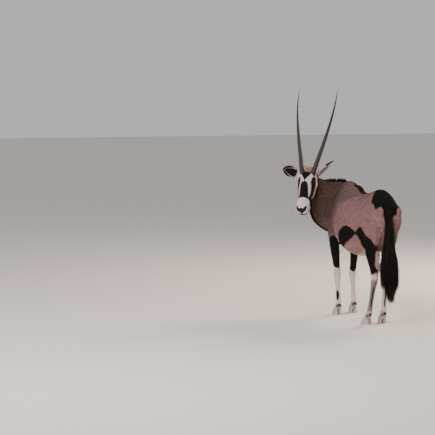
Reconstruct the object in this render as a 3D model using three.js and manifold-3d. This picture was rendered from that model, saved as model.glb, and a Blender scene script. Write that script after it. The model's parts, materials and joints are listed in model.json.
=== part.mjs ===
// A life-size gemsbok that stands and looks back over its left shoulder.
// Millimetres, +Z up. The animal faces -Y and its left side is +X.
// The origin is on the floor, under the middle of the animal's bounding box.
import * as THREE from "three";
import { mergeVertices } from "three/addons/utils/BufferGeometryUtils.js";
import Module from "manifold-3d";

const wasm = await Module();
wasm.setup();

// Driving dimensions
const GAP = 0.3; // between two pieces that meet
const HORN_BASE_RADIUS = 22;
const HORN_RINGS = 21;
const LEFT_HORN_BOW = 14; // how far the left horn bows out beyond the right one
const HORN_RINGED_SHARE = 0.58;
const EAR_LENGTH = 222;
const EYE_RADIUS = 19;
const LID = 3.5; // how far a lid stands around the eye
const MOUTH_DEPTH = 5;
const CLAW_SPREAD = 18; // from the middle of the foot to the middle of a claw
const POLL_LOCKS = 8;
const MANE_LOCKS = 26;
const MANE_HEIGHT = 27;
const TAIL_LOCKS = 22;
const TAIL_HAIR_END = 228; // above the floor
const TAIL_CORE_END = 430; // the hair is thickest above this

// Colours of the coat and of the horny parts
const FAWN = 0xa8968a;
const BLACK = 0x1d1917;
const WHITE = 0xe6ded4;
const HORN = 0x2b2623;
const HOOF = 0x6d625c;

// The animal's own directions: f forward, l to its left, z up.
const at = (f, l, z) => new THREE.Vector3(l, -f, z);
const FORWARD = at(1, 0, 0);
const LEFT = at(0, 1, 0);
const UP = at(0, 0, 1);

const mix = (a, b, t) => a + (b - a) * t;
const between = (a, b, t) => a.map((value, k) => mix(value, b[k], t));
const radians = THREE.MathUtils.degToRad;
const seeded = (seed) => {
  let state = seed;
  return () => {
    state = (state * 1664525 + 1013904223) % 4294967296;
    return state / 4294967296;
  };
};

// A smooth curve through rows of numbers: the result gives every column at t from 0 to 1.
function smoothRows(rows) {
  const slope = (i, k) => {
    if (i === 0 || i === rows.length - 1) return 0;
    return (rows[i + 1][k] - rows[i - 1][k]) / 2;
  };
  return (t) => {
    const place = Math.min(t * (rows.length - 1), rows.length - 1 - 1e-9);
    const i = Math.floor(place);
    const u = place - i;
    return rows[i].map((value, k) => {
      const next = rows[i + 1][k];
      return (
        (2 * u ** 3 - 3 * u ** 2 + 1) * value +
        (u ** 3 - 2 * u ** 2 + u) * slope(i, k) +
        (-2 * u ** 3 + 3 * u ** 2) * next +
        (u ** 3 - u ** 2) * slope(i + 1, k)
      );
    });
  };
}

// A closed skin over rings of points, each ring with the same number of sides.
function skinOver(rings) {
  const sides = rings[0].length;
  const points = [];
  const faces = [];
  for (const ring of rings) for (const p of ring) points.push(p.x, p.y, p.z);
  for (const ring of [rings[0], rings.at(-1)]) {
    const middle = new THREE.Vector3();
    for (const p of ring) middle.addScaledVector(p, 1 / sides);
    points.push(middle.x, middle.y, middle.z);
  }
  const firstMiddle = rings.length * sides;
  const lastRing = (rings.length - 1) * sides;
  for (let j = 0; j < sides; j++) {
    const k = (j + 1) % sides;
    for (let i = 0; i < rings.length - 1; i++) {
      const a = i * sides;
      const b = a + sides;
      faces.push(a + j, a + k, b + k, a + j, b + k, b + j);
    }
    faces.push(firstMiddle, k, j, firstMiddle + 1, lastRing + j, lastRing + k);
  }
  const skin = new THREE.BufferGeometry();
  skin.setAttribute("position", new THREE.Float32BufferAttribute(points, 3));
  skin.setIndex(faces);
  return skin;
}

// One ring: half width side, top above its centre and bottom below it.
// ridge narrows the upper half to a crest and keel the lower half; 0 leaves an oval.
function oval({ centre, across, upward, side, top, bottom, ridge = 0, keel = 0, sides }) {
  const ring = [];
  for (let j = 0; j < sides; j++) {
    const angle = (2 * Math.PI * j) / sides;
    const [c, s] = [Math.cos(angle), Math.sin(angle)];
    const pinch = s > 0 ? ridge * s ** 1.5 : keel * (-s) ** 1.5;
    ring.push(
      centre
        .clone()
        .addScaledVector(across, side * c * (1 - pinch))
        .addScaledVector(upward, s > 0 ? top * s : bottom * s),
    );
  }
  return ring;
}

// Ovals square to a path. Rows are three numbers for the place, then side, top, bottom, ridge, keel.
// The top of each oval looks to facing. grow swells the shape by that much.
function limb({ rows, rings, sides, facing, grow = 0, place = at }) {
  const row = smoothRows(rows);
  const made = [];
  for (let i = 0; i < rings; i++) {
    const t = i / (rings - 1);
    const [a, b, c, side, top, bottom, ridge = 0, keel = 0] = row(t);
    const centre = place(a, b, c);
    const ahead = place(...row(Math.min(1, t + 0.01)).slice(0, 3));
    const behind = place(...row(Math.max(0, t - 0.01)).slice(0, 3));
    const along = ahead.sub(behind).normalize();
    const across = new THREE.Vector3().crossVectors(facing, along).normalize();
    const upward = new THREE.Vector3().crossVectors(along, across).normalize();
    if (i === 0) centre.addScaledVector(along, -grow);
    if (i === rings - 1) centre.addScaledVector(along, grow);
    made.push(
      oval({
        centre,
        across,
        upward,
        side: side + grow,
        top: top + grow,
        bottom: bottom + grow,
        ridge,
        keel,
        sides,
      }),
    );
  }
  return solid(skinOver(made));
}

// Upright or level rings along one axis. Rows are place, highest, widest level, lowest,
// half width, ridge, keel and sideways shift.
function hull({ rows, rings, sides, place, across, upward, grow = 0 }) {
  const row = smoothRows(rows);
  const made = [];
  for (let i = 0; i < rings; i++) {
    const [x, high, level, low, side, ridge, keel, shift = 0] = row(i / (rings - 1));
    const end = i === 0 ? -grow : i === rings - 1 ? grow : 0;
    made.push(
      oval({
        centre: place(x + end, shift, level),
        across,
        upward,
        side: side + grow,
        top: high - level + grow,
        bottom: level - low + grow,
        ridge,
        keel,
        sides,
      }),
    );
  }
  return solid(skinOver(made));
}

// Solids
function solid(geometry) {
  const bare = new THREE.BufferGeometry();
  bare.setAttribute("position", geometry.getAttribute("position"));
  if (geometry.index) bare.setIndex(geometry.index);
  const merged = mergeVertices(bare, 1e-3);
  const vertProperties = merged.attributes.position.array;
  const triVerts = new Uint32Array(merged.index.array);
  const made = new wasm.Manifold(new wasm.Mesh({ numProp: 3, vertProperties, triVerts }));
  if (made.volume() > 0) return made;
  const turned = triVerts.slice();
  for (let i = 0; i < turned.length; i += 3) {
    [turned[i], turned[i + 1]] = [turned[i + 1], turned[i]];
  }
  return new wasm.Manifold(new wasm.Mesh({ numProp: 3, vertProperties, triVerts: turned }));
}
const joined = (solids) => solids.reduce((all, one) => all.add(one));
const without = (body, cutters) => cutters.reduce((rest, cutter) => rest.subtract(cutter), body);
const largest = (body) =>
  body.decompose().reduce((best, one) => (one.volume() > best.volume() ? one : best));
function geometryOf(body) {
  const mesh = body.getMesh();
  const points = new Float32Array(mesh.numVert * 3);
  for (let i = 0; i < mesh.numVert; i++) {
    points.set(mesh.vertProperties.subarray(i * mesh.numProp, i * mesh.numProp + 3), i * 3);
  }
  const geometry = new THREE.BufferGeometry();
  geometry.setAttribute("position", new THREE.BufferAttribute(points, 3));
  geometry.setIndex(new THREE.BufferAttribute(new Uint32Array(mesh.triVerts), 1));
  geometry.computeVertexNormals();
  return geometry;
}
// Everything below the plane through point that is square to normal.
function below(point, normal) {
  const reach = 4000;
  const way = normal.clone().normalize();
  const block = new THREE.BoxGeometry(reach, reach, reach);
  block.applyQuaternion(new THREE.Quaternion().setFromUnitVectors(UP, way));
  const middle = point.clone().addScaledVector(way, -reach / 2);
  return solid(block.translate(middle.x, middle.y, middle.z));
}
function egg(centre, radii, turn = [0, 0, 0], wide = 12, high = 8) {
  const made = new THREE.SphereGeometry(1, wide, high).scale(...radii);
  made.applyQuaternion(new THREE.Quaternion().setFromEuler(new THREE.Euler(...turn)));
  return solid(made.translate(centre.x, centre.y, centre.z));
}

// Trunk, from the buttocks to the breast. The fore end is bent to the left.
// forward, highest, widest level, lowest, half width, ridge, keel, shift to the left
const TRUNK = [
  [-30, 940, 890, 840, 36, 0, 0, 4],
  [-10, 990, 905, 786, 92, 0.12, 0.2, 4],
  [40, 1082, 922, 726, 124, 0.16, 0.3, 4],
  [120, 1152, 930, 684, 149, 0.2, 0.28, 2],
  [210, 1182, 925, 650, 168, 0.26, 0.15, 0],
  [310, 1170, 920, 622, 180, 0.3, 0.1, 0],
  [420, 1143, 900, 590, 198, 0.34, 0.05, 3],
  [530, 1128, 882, 568, 216, 0.36, 0, 8],
  [640, 1136, 868, 562, 222, 0.4, 0, 16],
  [740, 1184, 868, 570, 208, 0.48, 0.05, 27],
  [830, 1217, 878, 590, 184, 0.55, 0.1, 38],
  [920, 1214, 890, 615, 164, 0.52, 0.15, 48],
  [1010, 1168, 895, 640, 150, 0.42, 0.2, 58],
  [1090, 1090, 880, 672, 132, 0.3, 0.25, 72],
  [1150, 1000, 855, 715, 100, 0.15, 0.2, 88],
  [1184, 905, 835, 775, 44, 0, 0, 98],
];
const trunk = (grow = 0) =>
  hull({ rows: TRUNK, rings: 27, sides: 22, place: at, across: LEFT, upward: UP, grow });

// Neck: its crest, its throat, half width, heading to the left in degrees, ridge, keel
const NECK = [
  [840, 42, 1190, 915, 42, 700, 132, 4, 0.5, 0.1],
  [943, 44, 1202, 1014, 59, 708, 126, 12, 0.5, 0.1],
  [1030, 60, 1208, 1105, 95, 716, 118, 24, 0.48, 0.15],
  [1098, 86, 1206, 1198, 170, 750, 110, 36, 0.45, 0.2],
  [1152, 118, 1202, 1266, 240, 818, 102, 50, 0.4, 0.25],
  [1198, 158, 1207, 1300, 276, 908, 92, 66, 0.35, 0.25],
  [1236, 204, 1230, 1306, 292, 1002, 81, 82, 0.3, 0.2],
  [1262, 246, 1284, 1290, 282, 1084, 69, 98, 0.2, 0.1],
  [1256, 272, 1318, 1264, 280, 1120, 54, 112, 0.1, 0.1],
];
const neckRow = smoothRows(NECK);
function neckRing(t, grow = 0) {
  const [cf, cl, cz, tf, tl, tz, side, heading, ridge, keel] = neckRow(t);
  const crest = at(cf, cl, cz);
  const throat = at(tf, tl, tz);
  const upward = crest.clone().sub(throat).normalize();
  const turn = radians(heading);
  const across = at(-Math.sin(turn), Math.cos(turn), 0);
  across.addScaledVector(upward, -across.dot(upward)).normalize();
  const half = crest.distanceTo(throat) / 2 + grow;
  const centre = crest.clone().add(throat).multiplyScalar(0.5);
  return { crest, centre, across, upward, side: side + grow, top: half, bottom: half, ridge, keel };
}
function neckShape(grow = 0) {
  const made = [];
  const count = 18;
  for (let i = 0; i < count; i++) {
    const ring = neckRing(i / (count - 1), grow);
    const end = i === 0 ? -grow : i === count - 1 ? grow : 0;
    ring.centre.addScaledVector(new THREE.Vector3().crossVectors(ring.upward, ring.across), end);
    made.push(oval({ ...ring, sides: 20 }));
  }
  return solid(skinOver(made));
}
// The plane where the neck leaves the trunk
const NECK_BASE = { point: at(915, 45, 1215), normal: at(0.84, 0.22, 0.49).normalize() };

// Where each leg stands: f, l, z of its joints. toe turns the foot outwards, in degrees.
const LEGS = {
  left_fore: { elbow: [982, 152, 690], knee: [942, 131, 356], fetlock: [926, 128, 112], coronet: [948, 130, 58], toe: 8 },
  right_fore: { elbow: [1006, -66, 690], knee: [1040, -52, 356], fetlock: [1006, -51, 112], coronet: [1028, -50, 58], toe: -8 },
  left_hind: { hock: [84, 107, 432], fetlock: [206, 107, 116], coronet: [258, 110, 58], toe: 24 },
  right_hind: { hock: [160, -26, 430], fetlock: [238, -38, 116], coronet: [286, -42, 58], toe: -6 },
};
// Rows from the shoulder or the hip down to the hoof: place, half width, to the front, to the back
function foreRows({ elbow, knee, fetlock, coronet }, side) {
  const shoulder = (out, f, z) => [f, 48 + side * out, z];
  return [
    [...shoulder(56, 900, 1090), 24, 56, 56],
    [...shoulder(82, 922, 1010), 42, 104, 100],
    [...shoulder(98, 956, 900), 54, 120, 118],
    [...shoulder(104, 984, 790), 52, 94, 106],
    [...elbow, 46, 64, 76],
    [...between(elbow, knee, 0.35), 40, 48, 52],
    [...between(elbow, knee, 0.75), 31, 34, 35],
    [knee[0] + 2, knee[1], knee[2], 34, 37, 32],
    [...between(knee, fetlock, 0.3), 24, 25, 26],
    [...between(knee, fetlock, 0.75), 21, 20, 23],
    [...fetlock, 27, 26, 30],
    [...between(fetlock, coronet, 0.6), 27, 25, 25],
    [...coronet, 33, 34, 34],
  ];
}
function hindRows({ hock, fetlock, coronet }, side) {
  const thigh = (out, f, z) => [f, 12 + side * out, z];
  return [
    [...thigh(46, 160, 1075), 36, 80, 90],
    [...thigh(64, 168, 985), 62, 138, 140],
    [...thigh(72, 188, 890), 70, 158, 170],
    [...thigh(72, 205, 800), 58, 158, 170],
    [...thigh(72, 226, 715), 49, 124, 148],
    [...between(thigh(80, 205, 620), [hock[0] + 90, hock[1], 620], 0.35), 42, 76, 96],
    [...between(thigh(88, 140, 520), [hock[0] + 40, hock[1], 520], 0.8), 33, 48, 56],
    [hock[0] + 6, hock[1], hock[2], 31, 40, 48],
    [...between(hock, fetlock, 0.2), 27, 32, 37],
    [...between(hock, fetlock, 0.45), 22, 24, 28],
    [...between(hock, fetlock, 0.8), 21, 22, 24],
    [...fetlock, 27, 27, 30],
    [...between(fetlock, coronet, 0.6), 27, 26, 26],
    [...coronet, 33, 34, 34],
  ];
}
const legSides = Object.keys(LEGS).map((name) => [name, name.startsWith("left") ? 1 : -1]);
function legShape(name, side, grow = 0) {
  const rows = (name.endsWith("fore") ? foreRows : hindRows)(LEGS[name], side);
  return limb({ rows, rings: 25, sides: 12, facing: FORWARD, grow });
}
// The plane where the leg leaves the torso, and the height of the knee or hock
const PARTING = {
  fore: { point: at(0, 0, 650), normal: at(0, 0, 1), joint: 356 },
  hind: { point: at(180, 0, 690), normal: at(-0.3, 0, 1), joint: 432 },
};
const partingOf = (name) => PARTING[name.split("_")[1]];

// Head, in its own frame: x from the back of the skull to the nose, y left, z up from the brow.
// x, highest, widest level, lowest, half width, ridge, keel
const HEAD = [
  [-42, -72, -98, -128, 24, 0, 0],
  [-20, -38, -92, -152, 56, 0.1, 0.1],
  [30, -10, -80, -186, 72, 0.14, 0.25],
  [85, 2, -56, -202, 80, 0.12, 0.4],
  [132, 7, -42, -198, 83, 0.1, 0.42],
  [178, 5, -46, -184, 73, 0.2, 0.4],
  [226, 1, -54, -164, 63, 0.28, 0.36],
  [278, -3, -60, -148, 55, 0.3, 0.28],
  [326, -3, -60, -141, 54, 0.24, 0.24],
  [368, -3, -60, -144, 61, 0.2, 0.3],
  [404, -8, -62, -144, 63, 0.16, 0.3],
  [428, -22, -66, -136, 56, 0.1, 0.2],
  [443, -44, -76, -114, 34, 0, 0.1],
  [449, -64, -82, -100, 14, 0, 0],
];
const inHead = (x, y, z) => new THREE.Vector3(x, y, z);
const headShape = (grow = 0) =>
  hull({
    rows: HEAD,
    rings: 26,
    sides: 20,
    place: inHead,
    across: inHead(0, 1, 0),
    upward: inHead(0, 0, 1),
    grow,
  });
// The head looks back over the left shoulder with its face dropped from the level.
const HEAD_TURN = radians(143.8);
const FACE_DROP = radians(55);
const BROW = at(1187, 329, 1332); // where x, y and z of the head are 0
const head = new THREE.Group();
head.quaternion
  .setFromRotationMatrix(new THREE.Matrix4().makeBasis(FORWARD, LEFT, UP))
  .premultiply(new THREE.Quaternion().setFromAxisAngle(UP, HEAD_TURN))
  .multiply(new THREE.Quaternion().setFromAxisAngle(inHead(0, 1, 0), FACE_DROP));
head.position.copy(BROW);
head.updateMatrixWorld();
const fromHead = (body) => body.transform(head.matrixWorld.elements);
const toHead = (body) => body.transform(head.matrixWorld.clone().invert().elements);

// Horns: ringed over the lower part, smooth and sharp above.
const HORN_LINE = [
  [96, 42, -34],
  [50, 52, -4],
  [-60, 74, 24],
  [-230, 112, 62],
  [-410, 148, 96],
  [-590, 174, 122],
  [-752, 186, 138],
];
function horn(side, grow = 0) {
  const bow = side > 0 ? LEFT_HORN_BOW : 0;
  const bowAt = (i) => bow * Math.sin((Math.PI * i) / (HORN_LINE.length - 1));
  const line = HORN_LINE.map(([x, y, z], i) => inHead(x, (y + bowAt(i)) * side, z));
  const curve = new THREE.CatmullRomCurve3(line);
  const rings = [];
  const section = (t, radius) => {
    const along = curve.getTangentAt(t);
    const across = new THREE.Vector3().crossVectors(inHead(0, 0, 1), along).normalize();
    rings.push(
      oval({
        centre: curve.getPointAt(t).addScaledVector(along, t === 0 ? -grow : 0),
        across,
        upward: new THREE.Vector3().crossVectors(along, across).normalize(),
        side: radius + grow,
        top: radius + grow,
        bottom: radius + grow,
        sides: 8,
      }),
    );
  };
  const radiusAt = (t) => 1.2 + HORN_BASE_RADIUS * (1 - t) ** 0.75;
  const firstRing = 0.09;
  const step = (HORN_RINGED_SHARE - firstRing) / HORN_RINGS;
  section(0, radiusAt(0));
  for (let i = 0; i < HORN_RINGS; i++) {
    const start = firstRing + step * i;
    section(start, radiusAt(start) * 0.93);
    section(start + step * 0.6, radiusAt(start) * 1.05);
  }
  for (let i = 0; i <= 7; i++) {
    const t = mix(HORN_RINGED_SHARE + 0.01, 1, i / 7);
    section(t, radiusAt(t));
  }
  return solid(skinOver(rings));
}

// Ears: a long leaf whose front is hollowed to a cup.
const EARS = {
  left: { root: [44, 58, -104], aim: [-0.67, 0.69, 0.25], mouth: [0.61, 0.73, -0.1] },
  right: { root: [44, -64, -104], aim: [-0.36, -0.93, 0.05], mouth: [0.48, 0.33, 0.82] },
};
// share of the length, half width, depth of the back
const EAR_ROWS = [
  [-0.12, 15, 15],
  [0.02, 21, 19],
  [0.16, 30, 24],
  [0.34, 40, 26],
  [0.54, 43, 22],
  [0.74, 32, 14],
  [0.9, 16, 7],
  [1.0, 3, 3],
];
function ear({ root, aim, mouth }) {
  const along = inHead(...aim).normalize();
  const front = inHead(...mouth);
  front.addScaledVector(along, -front.dot(along)).normalize();
  const across = new THREE.Vector3().crossVectors(front, along).normalize();
  const row = smoothRows(EAR_ROWS);
  const shell = [];
  const hollow = [];
  const count = 12;
  for (let i = 0; i < count; i++) {
    const [share, half, deep] = row(i / (count - 1));
    const centre = inHead(...root).addScaledVector(along, share * EAR_LENGTH);
    shell.push(
      oval({ centre, across, upward: front, side: half, top: deep * 0.5, bottom: deep, sides: 12 }),
    );
    const open = Math.min(1, Math.max(0, (share - 0.06) / 0.16), (1.02 - share) / 0.2);
    hollow.push(
      oval({
        centre: centre.clone().addScaledVector(front, deep * mix(1.5, 0.2, open)),
        across,
        upward: front,
        side: Math.max(half - 4, 0.8) * mix(0.35, 1, open),
        top: deep * 1.3,
        bottom: Math.max(deep - 4, 0.8) * mix(0.3, 1, open),
        sides: 10,
      }),
    );
  }
  return solid(skinOver(shell)).subtract(solid(skinOver(hollow)));
}

// A lock of hair: a flat blade along a bent line, widest near its root and sharp at its tip.
function lock({ root, way, bend, length, width, thick, broad, steps }) {
  const rings = [];
  for (let i = 0; i <= steps; i++) {
    const t = i / steps;
    const along = way.clone().addScaledVector(bend, 2 * t).normalize();
    const flat = broad.clone().addScaledVector(along, -broad.dot(along)).normalize();
    const face = new THREE.Vector3().crossVectors(flat, along).normalize();
    const centre = root
      .clone()
      .addScaledVector(way, length * t)
      .addScaledVector(bend, length * t * t);
    const taper = t < 0.3 ? mix(0.75, 1, t / 0.3) : Math.max(0.07, 1 - ((t - 0.3) / 0.7) ** 1.5);
    rings.push(
      [[1, 0], [0.3, 1], [-1, 0], [-0.3, -1]].map(([c, s]) =>
        centre
          .clone()
          .addScaledVector(flat, (width / 2) * taper * c)
          .addScaledVector(face, (thick / 2) * taper * s),
      ),
    );
  }
  return solid(skinOver(rings));
}

// The short mane, root by root along the crest of the neck.
function maneLocks() {
  const random = seeded(3);
  const locks = [];
  for (let i = 0; i < MANE_LOCKS; i++) {
    const t = mix(0.09, 0.85, (i + 0.5) / MANE_LOCKS);
    const { crest, across, upward } = neckRing(t);
    const along = neckRing(t + 0.02).crest.sub(neckRing(t - 0.02).crest).normalize();
    const up = upward.clone().addScaledVector(along, -upward.dot(along)).normalize();
    const sway = (random() - 0.5) * 8;
    locks.push(
      lock({
        root: crest.addScaledVector(up, -16).addScaledVector(across, sway),
        way: up.clone().addScaledVector(along, -0.45).addScaledVector(across, sway * 0.03).normalize(),
        bend: along.clone().multiplyScalar(-0.35),
        length: MANE_HEIGHT + 10 + random() * 8,
        width: 34,
        thick: 10,
        broad: along,
        steps: 3,
      }),
    );
  }
  return locks;
}
// The tuft between the horns.
function pollLocks() {
  const random = seeded(11);
  const locks = [];
  for (let i = 0; i < POLL_LOCKS; i++) {
    const spread = (2 * i) / (POLL_LOCKS - 1) - 1;
    locks.push(
      lock({
        root: inHead(26 + random() * 16, spread * 25, -18),
        way: inHead(-0.72, spread * 0.22, 0.66).normalize(),
        bend: inHead(-0.38, spread * 0.12, -0.12),
        length: 24 + random() * 16,
        width: 22,
        thick: 8,
        broad: inHead(0, 1, 0.3 * (random() - 0.5)),
        steps: 3,
      }),
    );
  }
  return locks;
}

// Tail: a dock that hangs from the rump, with long hair that reaches almost to the fetlocks.
const DOCK = [
  [48, 0, 1000, 25, 28, 26],
  [8, 1, 990, 28, 28, 27],
  [-32, 3, 948, 28, 24, 24],
  [-50, 5, 870, 29, 21, 22],
  [-56, 8, 770, 34, 23, 24],
  [-55, 12, 660, 40, 26, 27],
  [-53, 16, 560, 42, 26, 27],
  [-51, 20, TAIL_CORE_END + 50, 30, 18, 18],
  [-50, 22, TAIL_CORE_END, 8, 6, 6],
];
function tailShape() {
  const random = seeded(7);
  const row = smoothRows(DOCK);
  const pieces = [limb({ rows: DOCK, rings: 14, sides: 12, facing: FORWARD })];
  for (let i = 0; i < TAIL_LOCKS; i++) {
    const share = i / (TAIL_LOCKS - 1);
    const [f, l, z, side, top] = row(mix(0.4, 0.93, share));
    const turn = i * 2.4 + random() * 0.5;
    const [ahead, aside] = [Math.sin(turn), Math.cos(turn)];
    const outward = at(ahead * 0.6, aside, 0);
    const lowest = TAIL_HAIR_END + random() * 95;
    pieces.push(
      lock({
        root: at(f + ahead * top * 0.45, l + aside * side * 0.55, z),
        way: at(0, 0.02, -1).addScaledVector(outward, 0.17),
        bend: outward.clone().multiplyScalar(-0.08),
        length: Math.min(z - lowest, 270 + random() * 70),
        width: 46,
        thick: 18,
        broad: new THREE.Vector3().crossVectors(outward, UP),
        steps: 4,
      }),
    );
  }
  return joined(pieces);
}

// Hooves: two claws to a foot, flat below and sloped in front.
function claw({ coronet, toe }, side, grow = 0) {
  const turn = radians(toe);
  const ahead = at(Math.cos(turn), Math.sin(turn), 0);
  const left = at(-Math.sin(turn), Math.cos(turn), 0);
  const [f, l, z] = coronet;
  // height, half width, to the front, to the back
  const levels = [
    [z - 2, 16, 30, 30],
    [z - 20, 17.5, 43, 35],
    [z - 42, 18.5, 58, 39],
    [0, 19, 70, 40],
  ];
  const rings = levels.map(([height, half, front, back], i) => {
    const lift = i === 0 ? grow : i === levels.length - 1 ? -grow : 0;
    const centre = at(f, l, height + lift).addScaledVector(left, side * CLAW_SPREAD);
    const ring = [];
    for (let j = 0; j < 12; j++) {
      const angle = (2 * Math.PI * j) / 12;
      const [c, s] = [Math.cos(angle), Math.sin(angle)];
      const point = s > 0 ? 1 - 0.45 * s ** 2 : 1;
      const inner = c * side < 0 ? 0.86 : 1;
      ring.push(
        centre
          .clone()
          .addScaledVector(left, (half * point * inner + grow) * c)
          .addScaledVector(ahead, ((s > 0 ? front : back) + grow) * s),
      );
    }
    return ring;
  });
  return solid(skinOver(rings));
}
const dewclaw = ({ fetlock: [f, l, z] }, side) =>
  egg(at(f - 24, l + side * 15, z - 16), [8, 10, 14], [radians(-35), 0, 0], 8, 5);

// Eyes and what is carved around them, all in the head's frame
const EYE = [134, 64, -38];
const eyeBall = (side, grow = 0) =>
  egg(inHead(EYE[0], EYE[1] * side, EYE[2]), Array(3).fill(EYE_RADIUS + grow), [0, 0, 0], 12, 8);
const lids = (side) => {
  const around = EYE_RADIUS + LID;
  return egg(inHead(EYE[0], EYE[1] * side, EYE[2]), [around + 7, around, around - 1]);
};
const lidOpening = (side) =>
  egg(inHead(EYE[0] + 9, (EYE[1] + 18) * side, EYE[2]), [19, 20, 12.5], [0, radians(14), 0], 14, 8);
const nostril = (side) =>
  egg(inHead(440, 27 * side, -58), [15, 6, 16], [radians(-38 * side), radians(-16), 0], 10, 8);
const lips = (side) => egg(inHead(390, 29 * side, -86), [50, 35.5, 19]);
const chin = egg(inHead(388, 0, -130), [52, 36, 18]);
function mouthLine(face) {
  const slab = new THREE.BoxGeometry(200, 200, 3.5).rotateY(radians(-6)).translate(430, 0, -113);
  return solid(slab).subtract(face(-MOUTH_DEPTH));
}

// Everything put together
const coat = (color, roughness = 0.85) =>
  new THREE.MeshStandardMaterial({ color, roughness, metalness: 0 });
function piece(name, body, material) {
  const mesh = new THREE.Mesh(geometryOf(largest(body)), material);
  mesh.name = name;
  return mesh;
}
const both = (make) => [1, -1].map(make);
const flesh = joined([headShape(), ...both(lips), chin, ...both(lids), ...pollLocks()]);
const headCut = without(flesh, [
  ...both((side) => eyeBall(side, GAP)),
  ...both(lidOpening),
  ...both(nostril),
  mouthLine(headShape),
  ...both((side) => horn(side, GAP)),
]);
const headForNeck = fromHead(headShape(GAP));
const behindEars = joined([headShape(GAP), ...both((side) => horn(side, GAP)), toHead(neckShape(GAP))]);

const body = new THREE.Group();
const legs = legSides.map(([name, side]) => {
  const { point, normal } = partingOf(name);
  const upperCut = below(point.clone().addScaledVector(normal, GAP), normal);
  const lowerPart = below(point, normal);
  return {
    name,
    side,
    upper: legShape(name, side).subtract(upperCut),
    lower: legShape(name, side).intersect(lowerPart),
  };
});
const trunkGrown = trunk(GAP);
const whole = joined([trunk(), neckShape(), ...legs.map((leg) => leg.upper)]);
const { point: base, normal: ahead } = NECK_BASE;
const behindNeck = below(base.clone().addScaledVector(ahead, GAP), ahead);
body.add(piece("torso", whole.intersect(below(base, ahead)), coat(FAWN)));
const neck = joined([whole, ...maneLocks()]);
body.add(piece("neck", without(neck, [behindNeck, headForNeck]), coat(FAWN)));
body.add(piece("tail", tailShape().subtract(trunkGrown), coat(BLACK)));
for (const { name, side, lower } of legs) {
  const shin = at(0, 0, partingOf(name).joint);
  const hooves = { inner: -side, outer: side };
  const free = lower.subtract(trunkGrown);
  const upper = free.subtract(below(shin, UP));
  const shank = free.intersect(below(shin.clone().addScaledVector(UP, -GAP), UP));
  const dewclaws = Object.values(hooves).map((which) => dewclaw(LEGS[name], which));
  const claws = Object.values(hooves).map((which) => claw(LEGS[name], which, GAP));
  body.add(piece(`${name}_upper_leg`, upper, coat(BLACK)));
  body.add(piece(`${name}_lower_leg`, without(joined([shank, ...dewclaws]), claws), coat(WHITE)));
  for (const [which, to] of Object.entries(hooves)) {
    body.add(piece(`${name}_${which}_hoof`, claw(LEGS[name], to), coat(HOOF, 0.5)));
  }
}
head.add(piece("head", headCut, coat(WHITE)));
for (const [name, side] of [["left", 1], ["right", -1]]) {
  head.add(piece(`eye_${name}`, eyeBall(side), coat(BLACK, 0.1)));
  head.add(piece(`horn_${name}`, horn(side), coat(HORN, 0.45)));
  head.add(piece(`ear_${name}`, ear(EARS[name]).subtract(behindEars), coat(WHITE)));
}

const gemsbok = new THREE.Group();
gemsbok.add(body, head);
const box = new THREE.Box3().setFromObject(gemsbok, true);
gemsbok.position.set(-(box.min.x + box.max.x) / 2, -(box.min.y + box.max.y) / 2, -box.min.z);
export default gemsbok;
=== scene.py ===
# %% [markdown]
# # A gemsbok that looks back over its shoulder
# The solid model gives the frame: every hoof, horn and eye has its place there already.
# This lesson dresses that frame with one skin, a short coat, a mane, a long tail,
# ringed horns, split hooves and dark eyes. The frame is loaded first. The finished
# animal must be no larger than the solids.

# %% Load the frame
import json
import math

import bmesh
import bpy
import numpy as np
from mathutils import Matrix, Vector
from mathutils.bvhtree import BVHTree

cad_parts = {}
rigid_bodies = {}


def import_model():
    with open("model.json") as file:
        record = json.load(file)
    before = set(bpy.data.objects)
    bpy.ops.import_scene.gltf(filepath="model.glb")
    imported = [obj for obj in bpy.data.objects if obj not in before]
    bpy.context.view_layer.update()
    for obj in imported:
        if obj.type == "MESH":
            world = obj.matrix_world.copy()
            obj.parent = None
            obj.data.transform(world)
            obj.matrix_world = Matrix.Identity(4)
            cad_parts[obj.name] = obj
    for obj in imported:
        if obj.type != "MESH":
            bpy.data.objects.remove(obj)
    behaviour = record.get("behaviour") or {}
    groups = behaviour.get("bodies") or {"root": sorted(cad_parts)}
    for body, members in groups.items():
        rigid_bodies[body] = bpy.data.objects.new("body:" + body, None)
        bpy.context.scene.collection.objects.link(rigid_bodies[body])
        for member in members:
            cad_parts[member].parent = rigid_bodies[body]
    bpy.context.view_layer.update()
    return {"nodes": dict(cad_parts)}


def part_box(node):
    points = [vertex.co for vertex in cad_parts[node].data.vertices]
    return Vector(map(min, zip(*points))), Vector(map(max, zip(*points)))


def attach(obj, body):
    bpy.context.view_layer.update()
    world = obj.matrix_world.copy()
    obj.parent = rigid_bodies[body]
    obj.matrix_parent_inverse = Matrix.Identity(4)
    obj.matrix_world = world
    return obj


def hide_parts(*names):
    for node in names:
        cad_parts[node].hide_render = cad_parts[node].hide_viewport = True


for left_over in list(bpy.data.objects):
    bpy.data.objects.remove(left_over)
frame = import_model()
nodes = frame["nodes"]

# %% [markdown]
# ## Directions on an animal
# A body is easier to measure along its own directions than along the scene's: f runs
# forward, l to its left and z up, in millimetres. The head is turned and dropped, so it
# has a frame of its own, from the back of the skull to the nose. Both frames are placed
# by the left eye, whose box the solid model knows.

# %% The animal's own frame and the head's
MM = 0.001
HEAD_TURN, FACE_DROP = math.radians(143.8), math.radians(55)
BROW = np.array([1187.0, 329.0, 1332.0])
EYE = np.array([134.0, 64.0, -38.0])
EYE_RADIUS = 19

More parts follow.
